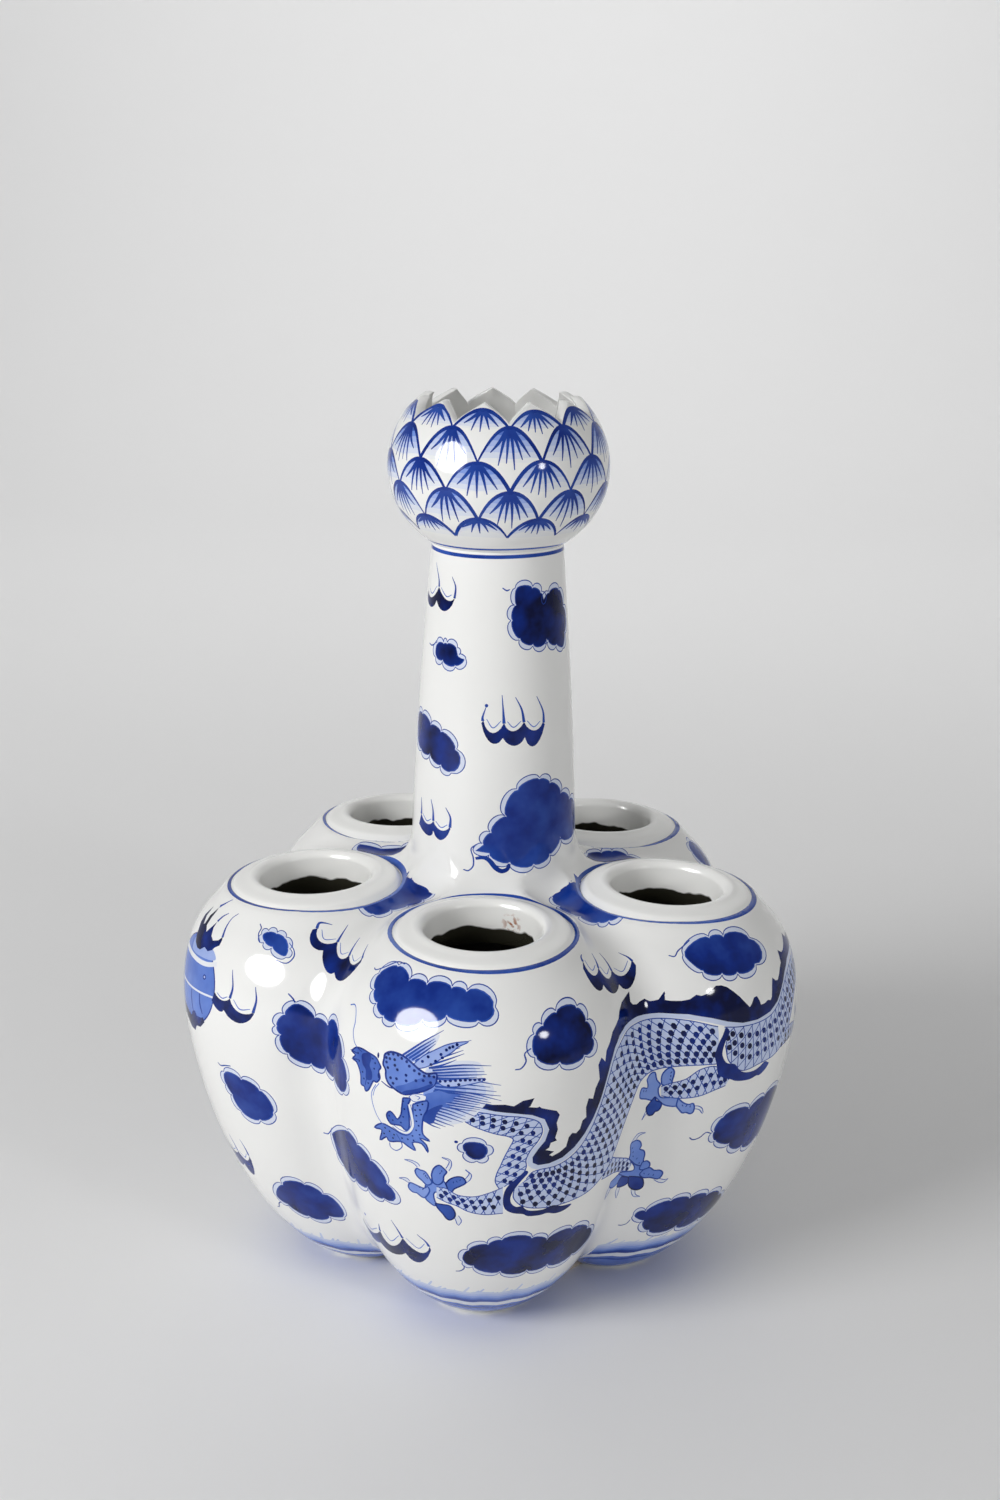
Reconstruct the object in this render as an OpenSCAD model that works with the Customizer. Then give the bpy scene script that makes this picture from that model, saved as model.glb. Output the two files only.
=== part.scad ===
// Five-lobed tulip vase: five luted lobes with open mouths round a tall neck and a lotus bulb.

/* [Lobes] */
// Outward lean of each lobe, degrees
lobe_tilt = 10; // [6:0.5:13]
// Distance from the vase axis to a lobe axis, at mouth height
lobe_axis_r = 53; // [50:0.5:57]
// Largest radius of a lobe about its own axis
belly_r = 42.5; // [39:0.5:46]
// Distance up the lobe axis from the table to the belly
belly_h = 79; // [70:1:88]
// Height of the closed lobe crown above the mouth plane
crown_rise = 9; // [7:0.5:11]
// Fullness of the shoulder, 2 is an ellipse
shoulder_fullness = 2.4; // [2:0.1:2.8]
// Fullness of the lower half, 2 is an ellipse
foot_fullness = 2.1; // [1.8:0.1:2.5]
// Depth that the lobe's round bottom would reach below the table
bottom_drop = 3; // [1:0.5:5]
// Thickness of the thrown wall
wall = 4.5; // [3:0.25:6]

/* [Mouths] */
// Height of the mouth plane above the lobe's belly
mouth_rise = 36.8; // [32:0.4:42]
// Distance that the mouths sit inwards of the lobe axes
mouth_inset = 1; // [0:0.25:3]
// Outward lean of each mouth, degrees
mouth_tilt = 2; // [0:0.5:5]
// Radius of the open mouth
mouth_r = 15.75; // [13.5:0.25:17.5]
// Outer radius of the lip, where the painted line runs
rim_r = 24.2; // [22.5:0.1:25]
// Height of the lip's crest above the mouth plane
rim_h = 3; // [2.6:0.1:4.4]
// Radius of the rounded crest
crest_r = 2.2; // [1.2:0.1:2.4]
// Thickness of the throat below the lip
throat_wall = 4; // [3:0.25:5]
// Depth of the throat below the mouth plane
throat_l = 10; // [8:0.5:14]
// Depth that the lip is let into the lobe
rim_seat = 2.5; // [1.5:0.25:4]
// Radius of the domed shoulder that carries the lip
dome_r = 50; // [47:0.5:56]

/* [Shoulder and neck] */
// Distance that the shoulder ring reaches under the five lips
ring_lap = 0.5; // [0.25:0.25:1.5]
// Gap left between the shoulder ring and the underside of the lips
lip_gap = 0.5; // [0.25:0.25:1]
// Height of the shoulder ring's plain wall below the lips
ring_drop = 8; // [5:0.5:12]
// Height of the neck's seat above the mouth plane
seat_rise = 6.4; // [5:0.2:9]
// Outer radius of the neck at its foot
neck_foot_r = 23.6; // [22.5:0.1:24.5]
// Outer radius of the neck under the bulb
neck_top_r = 18.2; // [17:0.1:20]
// Length of the neck from its seat to the bulb
neck_l = 89; // [75:1:105]
// Shape of the neck's taper, 1 is straight
neck_taper = 1.4; // [1:0.1:2]
// Thickness of the neck wall
neck_wall = 4; // [3:0.25:5]
// Length of the spigots that centre the neck and the bulb
spigot_l = 6; // [4:0.5:9]
// Thickness of the spigots
spigot_wall = 2.5; // [2:0.25:3.5]

/* [Lotus bulb] */
// Largest radius of the bulb
bulb_r = 30.4; // [27:0.2:34]
// Height from the neck to the bulb's widest ring
bulb_belly_h = 20.5; // [17:0.5:24]
// Height from the widest ring to the petal tips
bulb_crown_h = 19.5; // [16:0.5:22]
// Radius of the bulb's opening at the petal tips
crown_r = 21.5; // [18:0.25:24]
// Wall of the bulb
bulb_wall = 3; // [2.25:0.25:4]
// Depth of the notches between the petal tips
notch_h = 5; // [3:0.25:7]
// Number of petals round the crown
petal_count = 11; // [8:1:14]
// Turn of the crown from the front lobe, degrees
crown_turn = -8; // [-16:1:16]

/* [Base] */
// Radius of the base slab between the lobes' feet
base_r = 37; // [34:0.5:41]
// Thickness of the base slab
base_t = 8; // [5:0.5:10]

/* [Hidden] */
$fn = 96;
LOBES = 5;
// Points on each quarter of a lobe's curve, on a fillet and on the bulb
CURVE_STEPS = 14;
NECK_STEPS = 12;
NOTCH_STEPS = 4;
// Over 1 the notch opens slowly, which leaves the petals full and pointed
NOTCH_FLARE = 1.4;
// Cutting bodies run past what they cut by this much
OVER = 1;

porcelain = "#f4f3ee";
glaze_white = "#fbfaf6";
biscuit = "#cdbfae";

lobe_half = 180 / LOBES;
mouth_z = belly_h * cos(lobe_tilt) + mouth_rise;
lobe_base_r = lobe_axis_r - mouth_z * tan(lobe_tilt);
lobe_top_h = (mouth_z + crown_rise) / cos(lobe_tilt);
mouth_ring_r = lobe_axis_r - mouth_inset;
// Wider than the five lobes together, for the bodies that trim them
span = 2 * (lobe_axis_r + belly_r);
throat_r = mouth_r + throat_wall;
dome_drop = sqrt(dome_r * dome_r - rim_r * rim_r);

// The lips' inner edges, which the shoulder ring passes under
lip_reach_r = mouth_ring_r - rim_r * cos(mouth_tilt);
lip_low_z = mouth_z + rim_r * sin(mouth_tilt) - rim_seat;
ring_r = lip_reach_r + ring_lap;
sweep_z = lip_low_z - lip_gap;
ring_bottom_z = sweep_z - ring_drop;
seat_z = mouth_z + seat_rise;
neck_bore_r = neck_foot_r - neck_wall;
neck_top_z = seat_z + neck_l;
neck_top_bore_r = neck_top_r - neck_wall;

bulb_belly_z = neck_top_z + bulb_belly_h;
vase_h = bulb_belly_z + bulb_crown_h;
// Half heights of the two ellipses that make the bulb's side
bulb_low = bulb_belly_h / sqrt(1 - pow(neck_top_r / bulb_r, 2));
bulb_high = bulb_crown_h / sqrt(1 - pow(crown_r / bulb_r, 2));
petal_pitch = 2 * crown_r * tan(180 / petal_count);

// Radius on a quarter of a rounded curve at a share u of its height, from belly to pole
function round_r(r, u, fullness) = r * pow(1 - pow(u, fullness), 1 / fullness);

// Shares from 0 to 1, closer together near the pole
function pole_shares() = [for (i = [0 : CURVE_STEPS]) sin(90 * i / CURVE_STEPS)];

// Half outline of a lobe, drawn inwards by a wall
function lobe_outline(inset) = concat(
    [for (i = [CURVE_STEPS : -1 : 0]) let (u = pole_shares()[i])
        [round_r(belly_r - inset, u, foot_fullness),
         belly_h - u * (belly_h + bottom_drop - inset)]],
    [for (i = [1 : CURVE_STEPS]) let (u = pole_shares()[i])
        [round_r(belly_r - inset, u, shoulder_fullness),
         belly_h + u * (lobe_top_h - inset - belly_h)]]
);

// Neck radius at a share s of its length
function neck_r(s) = neck_foot_r + (neck_top_r - neck_foot_r) * pow(s, neck_taper);

// Bulb radius at a height above its widest ring
function bulb_side_r(h) =
    bulb_r * sqrt(1 - pow(h < 0 ? h / bulb_low : h / bulb_high, 2));

// Heights on the bulb's side, measured from its widest ring
function bulb_heights() = concat(
    [for (i = [0 : CURVE_STEPS]) -bulb_belly_h * (1 - i / CURVE_STEPS)],
    [for (i = [1 : CURVE_STEPS]) bulb_crown_h * i / CURVE_STEPS]
);

module on_lobe(index) {
    rotate([0, 0, (index - 1) * 360 / LOBES - 90]) children();
}

module on_lobe_axis() {
    translate([lobe_base_r, 0, 0]) rotate([0, lobe_tilt, 0]) children();
}

module on_mouth_axis() {
    translate([mouth_ring_r, 0, mouth_z]) rotate([0, mouth_tilt, 0]) children();
}

module lobe_body(inset) {
    on_lobe_axis() rotate_extrude() polygon(lobe_outline(inset));
}

// Wedge that one lobe fills between its two luted seams
module lobe_wedge() {
    half_w = span * tan(lobe_half);
    linear_extrude(span) polygon([[0, 0], [span, -half_w], [span, half_w]]);
}

// Domed top that a lobe is trimmed to, open below the dome's centre
module shoulder_dome() {
    translate([0, 0, -dome_drop]) {
        sphere(r = dome_r);
        translate([0, 0, -span]) cylinder(r = span, h = span);
    }
}

module rim_seat_cut() {
    on_mouth_axis() {
        translate([0, 0, -rim_seat]) cylinder(r = rim_r, h = span);
        translate([0, 0, -throat_l - OVER]) cylinder(r = throat_r, h = span);
    }
}

module lobe(index) {
    color(porcelain) on_lobe(index) difference() {
        intersection() {
            lobe_body(0);
            lobe_wedge();
            on_mouth_axis() shoulder_dome();
        }
        lobe_body(wall);
        rim_seat_cut();
        translate([0, 0, -OVER]) cylinder(r = base_r, h = base_t + OVER);
        cylinder(r = ring_r, h = span);
    }
}

module mouth_rim(index) {
    crest_z = rim_h - crest_r;
    crest_x = mouth_r + crest_r;
    // The crest's arc ends where it leans towards the painted line
    lean = atan2(rim_r - crest_x, crest_z) - acos(crest_r / norm([rim_r - crest_x, crest_z]));
    end_angle = 90 - lean;
    color(glaze_white) on_lobe(index) on_mouth_axis() rotate_extrude() polygon(concat(
        [[mouth_r, -throat_l]],
        [for (i = [0 : CURVE_STEPS]) let (a = 180 - (180 - end_angle) * i / CURVE_STEPS)
            [crest_x + crest_r * cos(a), crest_z + crest_r * sin(a)]],
        [[rim_r, 0], [rim_r, -rim_seat], [throat_r, -rim_seat], [throat_r, -throat_l]]
    ));
}

module shoulder_ring() {
    color(porcelain) rotate_extrude() polygon(concat(
        [[neck_bore_r, ring_bottom_z], [ring_r, ring_bottom_z]],
        [for (i = [0 : CURVE_STEPS]) let (a = 90 * i / CURVE_STEPS)
            [ring_r - (ring_r - neck_foot_r) * sin(a), sweep_z + (seat_z - sweep_z) * (1 - cos(a))]],
        [[neck_bore_r, seat_z]]
    ));
}

module neck() {
    color(porcelain) rotate_extrude() polygon(concat(
        [[neck_bore_r - spigot_wall, seat_z - spigot_l], [neck_bore_r, seat_z - spigot_l],
         [neck_bore_r, seat_z]],
        [for (i = [0 : NECK_STEPS]) let (s = i / NECK_STEPS) [neck_r(s), seat_z + neck_l * s]],
        [[neck_top_bore_r, neck_top_z], [neck_top_bore_r, neck_top_z - spigot_l]]
    ));
}

module petal_notch() {
    outline = concat(
        [for (i = [-NOTCH_STEPS : NOTCH_STEPS]) let (s = i / NOTCH_STEPS)
            [sign(s) * petal_pitch / 2 * pow(abs(s), NOTCH_FLARE), vase_h - notch_h * (1 - abs(s))]],
        [[petal_pitch / 2, vase_h + OVER], [-petal_pitch / 2, vase_h + OVER]]
    );
    rotate([90, 0, 90]) linear_extrude(bulb_r + OVER) polygon(outline);
}

module lotus_bulb() {
    heights = bulb_heights();
    last = len(heights) - 1;
    spigot_r = neck_top_bore_r;
    bore_r = spigot_r - spigot_wall;
    color(porcelain) difference() {
        rotate_extrude() polygon(concat(
            [[bore_r, neck_top_z - spigot_l], [spigot_r, neck_top_z - spigot_l],
             [spigot_r, neck_top_z]],
            [for (h = heights) [bulb_side_r(h), bulb_belly_z + h]],
            [for (i = [last : -1 : 0]) let (h = heights[i])
                if (h > bulb_wall - bulb_belly_h)
                    [bulb_side_r(h) - bulb_wall, bulb_belly_z + h]],
            [[bore_r, neck_top_z + bulb_wall]]
        ));
        for (k = [0 : petal_count - 1])
            rotate([0, 0, crown_turn - 90 + (k + 0.5) * 360 / petal_count]) petal_notch();
    }
}

module base_slab() {
    color(biscuit) cylinder(r = base_r, h = base_t);
}

lobe(1);  // lobe_1
lobe(2);  // lobe_2
lobe(3);  // lobe_3
lobe(4);  // lobe_4
lobe(5);  // lobe_5
mouth_rim(1);  // mouth_rim_1
mouth_rim(2);  // mouth_rim_2
mouth_rim(3);  // mouth_rim_3
mouth_rim(4);  // mouth_rim_4
mouth_rim(5);  // mouth_rim_5
shoulder_ring();
neck();
lotus_bulb();
base_slab();
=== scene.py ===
"""Looks of a five-lobed porcelain tulip vase, painted in cobalt blue under a clear glaze."""

import math

import bpy
import numpy as np
from mathutils import Matrix, Vector
from mathutils.geometry import delaunay_2d_cdt


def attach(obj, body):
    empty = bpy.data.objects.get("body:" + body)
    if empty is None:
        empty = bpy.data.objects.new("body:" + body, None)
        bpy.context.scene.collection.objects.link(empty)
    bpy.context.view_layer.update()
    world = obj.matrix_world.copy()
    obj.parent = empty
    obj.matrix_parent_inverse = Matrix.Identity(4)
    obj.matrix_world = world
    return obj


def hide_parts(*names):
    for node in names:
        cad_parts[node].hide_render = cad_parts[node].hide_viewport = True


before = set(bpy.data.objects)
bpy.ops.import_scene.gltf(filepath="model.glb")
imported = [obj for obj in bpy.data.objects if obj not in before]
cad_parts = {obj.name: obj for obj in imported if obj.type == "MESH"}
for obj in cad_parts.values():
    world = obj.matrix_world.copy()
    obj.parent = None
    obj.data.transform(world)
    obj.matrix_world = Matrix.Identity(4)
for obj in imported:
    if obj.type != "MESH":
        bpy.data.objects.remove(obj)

bl_info = {
    "name": "Painted tulip vase",
    "version": (1, 0, 0),
    "blender": (4, 5, 0),
    "location": "View3D > Sidebar > Vase",
    "description": "Builds the glazed skin, the lips and the cobalt painting of a tulip vase",
    "category": "Object",
}

LOBES = 5
LOBE_STEP = 360 / LOBES
# Half of a lobe's share of the painting in degrees, a little past its seams
HALF_CHART = 39
# Spacing of a staggered grid's rows, and its distance from an outline in millimetres
ROW_GAP = 0.87
EDGE_ROOM = 0.6
# Millimetres to a degree in the charts, and for the crests also to a degree of lean, which runs downward
SIDE_SCALE, TOP_SCALE, NECK_SCALE, BULB_SCALE = 1.45, 0.66, 0.37, 0.5
CREST_SCALE = 1.35, -0.75
# Turn by which front motifs are repeated on the back, in degrees
BACK_TURN = 172
# Longest edge of a painted shape in millimetres
SHAPE_EDGE = 2.5
# Step for slopes in millimetres, and the smallest number to divide by
SMALL_STEP = 0.02
TINY = 1e-9
# Colour inputs and output of a mix node
MIX_A, MIX_B, MIXED = 6, 7, 2
# Width of the camera's sensor in millimetres, and the frame's height in pixels
SENSOR = 36
FRAME_PIXELS = 1500
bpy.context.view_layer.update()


def length(label, text, default):
    """A length in metres, given in millimetres."""
    return bpy.props.FloatProperty(
        name=label, description=text, default=default / 1000, precision=5, unit="LENGTH"
    )


def angle(label, text, default):
    """An angle, given in degrees."""
    return bpy.props.FloatProperty(
        name=label, description=text, default=math.radians(default), unit="ROTATION"
    )


def share(label, text, default):
    """A number without a unit."""
    return bpy.props.FloatProperty(name=label, description=text, default=default)


class VaseSizes(bpy.types.PropertyGroup):
    """Sizes of the glazed skin, the same as the solids that it covers."""

    lobe_tilt: angle("Lobe tilt", "Outward lean of each lobe", 10)
    lobe_axis_r: length("Lobe axis", "Distance of the lobe axes at mouth height", 53)
    belly_r: length("Belly radius", "Largest radius of a lobe", 42.5)
    belly_h: length("Belly height", "Distance up the lobe axis to the belly", 79)
    crown_rise: length("Crown rise", "Height of the closed crown over the mouth", 9)
    shoulder_fullness: share("Shoulder fullness", "2 is an ellipse", 2.4)
    foot_fullness: share("Foot fullness", "2 is an ellipse", 2.1)
    bottom_drop: length("Bottom drop", "Reach of the round bottom below the table", 3)
    mouth_z: length("Mouth height", "Height of the mouth plane", 114.6)
    mouth_ring_r: length("Mouth ring", "Distance of the mouths from the axis", 52)
    mouth_tilt: angle("Mouth tilt", "Outward lean of each mouth", 2)
    mouth_r: length("Mouth radius", "Radius of the open mouth", 15.75)
    rim_r: length("Lip radius", "Outer radius of the lip", 24.2)
    rim_h: length("Lip height", "Height of the lip over the mouth plane", 3)
    crest_r: length("Crest radius", "Radius of the lip's rounded crest", 2.2)
    throat_l: length("Throat depth", "Depth of the throat below the mouth plane", 10)
    throat_wall: length("Throat wall", "Thickness of the throat", 4)
    wall: length("Lobe wall", "Thickness of the lobes", 4.5)
    dome_r: length("Dome radius", "Radius of the domed shoulder under the lip", 50)
    ring_r: length("Ring radius", "Where the lobes meet the neck's sweep", 28.3)
    seat_z: length("Neck seat", "Height of the neck's foot", 121)
    neck_l: length("Neck length", "Length of the neck", 89)
    neck_foot_r: length("Neck foot radius", "Radius of the neck at its foot", 23.6)
    neck_top_r: length("Neck top radius", "Radius of the neck under the bulb", 18.2)
    neck_taper: share("Neck taper", "1 is straight", 1.4)
    seam_fillet: length("Seam fillet", "Reach of the slip that rounds the seams", 9)
    neck_fillet: length("Neck fillet", "Reach of the sweep at the neck's foot", 14)
    bulb_r: length("Bulb radius", "Largest radius of the bulb", 30.4)
    bulb_belly_h: length("Bulb belly", "Height from the neck to the widest ring", 20.5)
    bulb_crown_h: length("Bulb crown", "Height from the widest ring to the tips", 19.5)
    crown_r: length("Crown radius", "Radius of the opening at the petal tips", 21.5)
    bulb_wall: length("Bulb wall", "Thickness of the bulb", 3)
    notch_h: length("Notch depth", "Depth of the notches between the tips", 5)
    petal_count: bpy.props.IntProperty(name="Petals", description="Petals round the crown", default=11)
    crown_turn: angle("Crown turn", "Turn of the crown from the front lobe", -8)
    mesh_step: length("Mesh step", "Spacing of the skin's points", 1.7)


class VaseStage(bpy.types.PropertyGroup):
    """Camera and light, at the photograph's viewing angle."""

    distance: length("Distance", "Level distance of the camera from the axis", 514.1)
    height: length("Height", "Height of the camera", 300.9)
    pitch: angle("Pitch", "Downward look of the camera", 16.36)
    swing: angle("Swing", "Turn of the camera round the vase", 2.6)
    roll: angle("Roll", "Roll of the camera", 0.8)
    focal: share("Focal length", "In pixels of the 1000 by 1500 frame", 1882)
    slide: share("Slide", "Sideways slide of the picture in the same pixels", 5.19)
    key: share("Key light", "Power of the soft light from the upper left, in watts", 7.5)
    shine: share("Shine", "Power of the soft box that gives the glaze its highlights, in watts", 38)
    spark: share("Small light", "Power of the small light from the right, in watts", 1.9)
    backdrop: share("Backdrop light", "Power of the light on the backdrop, in watts", 14)
    ambient: share("Ambient", "Strength of the light from all round", 0.35)
    paper: bpy.props.StringProperty(
        name="Paper", description="Colour of the floor and backdrop", default="#ececec"
    )


# Small tools


def linear(hex_colour):
    """Linear colour of an sRGB hex value."""
    out = []
    for k in (1, 3, 5):
        v = int(hex_colour[k : k + 2], 16) / 255
        out.append(v / 12.92 if v <= 0.04045 else ((v + 0.055) / 1.055) ** 2.4)
    return (*out, 1.0)


def add(tree, kind, links=(), **settings):
    """Adds a node; settings are its fields, links are (socket, value or output socket)."""
    node = tree.nodes.new(kind)
    for key, value in settings.items():
        setattr(node, key, value)
    for socket, value in links:
        if isinstance(value, bpy.types.NodeSocket):
            tree.links.new(value, node.inputs[socket])
        else:
            node.inputs[socket].default_value = value
    return node


def spline(points, per=6, closed=False):
    """Smooth curve through points, with any number of columns."""
    p = np.asarray(points, float)
    n = len(p)
    if n < 3:
        t = np.linspace(0, 1, per + 1)[:, None]
        return p[0] * (1 - t) + p[1] * t
    if closed:
        q = np.vstack([p[-1], p, p[0], p[1]])
        spans = n
    else:
        q = np.vstack([2 * p[0] - p[1], p, 2 * p[-1] - p[-2]])
        spans = n - 1
    t = (np.arange(per) / per)[:, None]
    out = []
    for k in range(spans):
        a, b, c, d = q[k : k + 4]
        out.append(
            0.5 * (2 * b + (c - a) * t + (2 * a - 5 * b + 4 * c - d) * t**2 + (3 * b - a - 3 * c + d) * t**3)
        )
    if not closed:
        out.append(p[-1:])
    return np.vstack(out)


def soft_min(a, b, k):
    """The smaller of two distances, with a fillet of reach k where they are near."""
    h = np.clip(k - np.abs(a - b), 0, None) / k
    return np.minimum(a, b) - h * h * k / 4


def unit(v):
    """Vectors brought to length one."""
    return v / np.maximum(np.linalg.norm(v, axis=-1, keepdims=True), TINY)


def steepest(value, p):
    """Directions in which a value grows fastest."""
    return unit(np.stack([value(p + e) - value(p - e) for e in SMALL_STEP * np.eye(3)], -1))


def bisect(low, high, inside, rounds):
    """Closes in on where a test that is true at low stops being true before high."""
    for _ in range(rounds):
        mid = (low + high) / 2
        within = inside(mid)
        low, high = np.where(within, mid, low), np.where(within, high, mid)
    return low, high


def ring_points(turn, r, z):
    """Points at an azimuth in radians from the front, a distance from the axis and a height."""
    return np.stack([r * np.sin(turn), -r * np.cos(turn), z + 0 * turn], -1)


def tilted(out, up, tilt):
    """Outward and upward distances as a piece that leans outward sees them."""
    c, s = math.cos(tilt), math.sin(tilt)
    return out * c - up * s, out * s + up * c


def leaning(out, tilt):
    """Axis of a piece that leans outward, and the direction straight out from that axis."""
    up = np.array([0, 0, 1.0])
    c, s = math.cos(tilt), math.sin(tilt)
    return out * s + up * c, out * c - up * s


def rolled_faces(rows, count):
    """Four-cornered faces between rows of points that run all the way round."""
    ring = [(k, (k + 1) % count) for k in range(count)]
    starts = range(0, (rows - 1) * count, count)
    return [(r + k, r + j, r + count + j, r + count + k) for r in starts for k, j in ring]


# The glazed skin


class Skin:
    """The outside of the vase as one smooth union of the lobes and the neck, in millimetres."""

    # A small roll where a lip is luted on: how far in and down from the lip's edge, its radius and fillet
    ROLL_IN, ROLL_DOWN, ROLL_R, ROLL_FILLET = 1.9, 3.1, 3, 5
    # The dip inside each lip: its slope, its depth, how much deeper it is outside, and over what reach
    DIP_SLOPE, DIP_DEPTH, DIP_MORE, DIP_REACH = 0.7, 1.6, 1.2, 20
    # Fillets of the dome's trim, of the dips, and of the neck where it rises through the dips
    DOME_FILLET, DIP_FILLET, RISE_FILLET = 3, 1.2, 2
    # Ring inside the lobes from which the high crests are charted
    CREST_RING = 45

    def __init__(self, props):
        for name in props.__annotations__:
            value = getattr(props, name)
            kind = props.bl_rna.properties[name]
            setattr(self, name, value * 1000 if kind.unit == "LENGTH" else value)
        self.lobe_base_r = self.lobe_axis_r - self.mouth_z * math.tan(self.lobe_tilt)
        self.top_h = (self.mouth_z + self.crown_rise) / math.cos(self.lobe_tilt)
        self.dome_drop = math.sqrt(self.dome_r**2 - self.rim_r**2)
        self.neck_top_z = self.seat_z + self.neck_l
        self.bulb_z = self.neck_top_z + self.bulb_belly_h
        self.bulb_low = self.bulb_belly_h / math.sqrt(1 - (self.neck_top_r / self.bulb_r) ** 2)
        self.bulb_high = self.bulb_crown_h / math.sqrt(1 - (self.crown_r / self.bulb_r) ** 2)
        self.petal_pitch = 360 / self.petal_count
        self.first_petal = math.degrees(self.crown_turn)

    def way(self, i):
        """Outward and sideways directions of lobe i."""
        a = math.radians(LOBE_STEP * i)
        return np.array([math.sin(a), -math.cos(a), 0]), np.array([math.cos(a), math.sin(a), 0])

    def lobe(self, p, i):
        """Rough distance to lobe i, which is a leaning rounded body trimmed by the mouth's dome."""
        out, side = self.way(i)
        r, h = tilted(p @ out - self.lobe_base_r, p[..., 2], self.lobe_tilt)
        up = h >= self.belly_h
        reach = np.where(up, self.top_h - self.belly_h, self.belly_h + self.bottom_drop)
        n = np.where(up, self.shoulder_fullness, self.foot_fullness)
        u = np.abs(h - self.belly_h) / reach
        v = np.hypot(r, p @ side) / self.belly_r
        g = np.maximum((u**n + v**n) ** (1 / n), TINY)
        slope = np.hypot((u / g) ** (n - 1) / reach, (v / g) ** (n - 1) / self.belly_r)
        d = (g - 1) / np.maximum(slope, 1e-6)
        centre = out * (self.mouth_ring_r - self.dome_drop * math.sin(self.mouth_tilt))
        centre[2] = self.mouth_z - self.dome_drop * math.cos(self.mouth_tilt)
        dome = np.linalg.norm(p - centre, axis=-1) - self.dome_r
        dome = np.where(p[..., 2] > centre[2], dome, -self.dome_r)
        d = -soft_min(-d, -dome, self.DOME_FILLET)
        r, h = self.about_mouth(p, i)
        roll = np.hypot(r - self.rim_r + self.ROLL_IN, h + self.ROLL_DOWN) - self.ROLL_R
        return soft_min(d, roll, self.ROLL_FILLET)

    def about_mouth(self, p, i):
        """Distance from the axis of mouth i and height above its plane."""
        out, side = self.way(i)
        r, h = tilted(p @ out - self.mouth_ring_r, p[..., 2] - self.mouth_z, self.mouth_tilt)
        return np.hypot(r, p @ side), h

    def lip_crest(self, start, end, step):
        """Points of the lip's rounded crest as (radius, height), between two leans in degrees."""
        lean = np.radians(np.arange(start, end, step))
        r = self.mouth_r + self.crest_r - self.crest_r * np.sin(lean)
        return np.stack([r, self.rim_h - self.crest_r + self.crest_r * np.cos(lean)], -1)

    def lip_slope(self):
        """Outer face of the lip as (radius, height), from below the shoulder up to the crest."""
        r, h = self.rim_r, self.rim_h
        face = [(r + 1.4, -2), (r + 0.8, -1), (r, 0), (r - 0.8, 0.28 * h), (r - 1.8, 0.58 * h)]
        return spline([*face, *self.lip_crest(-35, -34, 1)], 3)

    def neck_radius(self, z):
        s = np.clip((z - self.seat_z) / self.neck_l, 0, 1)
        return self.neck_foot_r + (self.neck_top_r - self.neck_foot_r) * s**self.neck_taper

    def bulb_radius(self, z):
        h = z - self.bulb_z
        return self.bulb_r * np.sqrt(1 - np.where(h < 0, h / self.bulb_low, h / self.bulb_high) ** 2)

    def tooth_height(self, az):
        """Height of the crown's toothed edge at an azimuth in degrees."""
        off = (az - self.first_petal) / self.petal_pitch
        from_tip = np.abs(off - np.round(off)) * 2
        return self.bulb_z + self.bulb_crown_h - 0.35 - self.notch_h * (1 - (1 - from_tip) ** (1 / 1.4))

    def value(self, p):
        """Below zero inside the vase."""
        d = self.lobe(p, 0)
        for i in range(1, LOBES):
            d = soft_min(d, self.lobe(p, i), self.seam_fillet)
        neck = np.hypot(p[..., 0], p[..., 1]) - self.neck_radius(p[..., 2])
        d = soft_min(d, neck, self.neck_fillet)
        # The sweep at the neck's foot dips round the inner side of each lip
        for i in range(LOBES):
            r, h = self.about_mouth(p, i)
            outer = np.clip(0.5 + (p @ self.way(i)[0] - self.mouth_ring_r) / self.DIP_REACH, 0, 1)
            dip = np.minimum(self.DIP_SLOPE * (h - r + self.rim_r + 0.2), h + self.DIP_DEPTH)
            d = -soft_min(-d, self.DIP_MORE * outer - dip, self.DIP_FILLET)
        return soft_min(d, neck, self.RISE_FILLET)

    def leave(self, foot, ray, low, high, rounds=22):
        """Points where rays from inside the vase come out of its skin."""
        ends = np.full(len(foot), float(low)), np.full(len(foot), float(high))
        _, far = bisect(*ends, lambda r: self.value(foot + ray * r[:, None]) < 0, rounds)
        return foot + ray * far[:, None]

    def side_points(self, chart):
        """Points of the outside at (azimuth in degrees, height)."""
        az = np.radians(chart[:, 0])
        return self.leave(ring_points(az, 0, chart[:, 1]), ring_points(az, 1, 0), 20, 100)

    def top_points(self, chart):
        """Points of the shoulders at (azimuth in degrees, distance from the axis)."""
        level = ring_points(np.radians(chart[:, 0]), chart[:, 1], 0)
        return self.leave(level, np.array([[0, 0, 1.0]]), 80, 135)

    def crest_points(self, chart):
        """Points of the shoulders at (azimuth, lean from straight up), in degrees, from the crest ring."""
        az, lean = np.radians(chart).T
        ring = ring_points(az, self.CREST_RING, self.belly_h)
        return self.leave(ring, ring_points(az, np.sin(lean), np.cos(lean)), 15, 65)

    def crest_chart(self, points):
        """Positions given as (azimuth, distance from the axis), as (azimuth, lean); further numbers stay."""
        spots = self.top_points(np.array([p[:2] for p in points], float))
        out = np.hypot(spots[:, 0], spots[:, 1]) - self.CREST_RING
        lean = np.degrees(np.arctan2(out, spots[:, 2] - self.belly_h))
        return [(p[0], a, *p[2:]) for p, a in zip(points, lean)]


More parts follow.
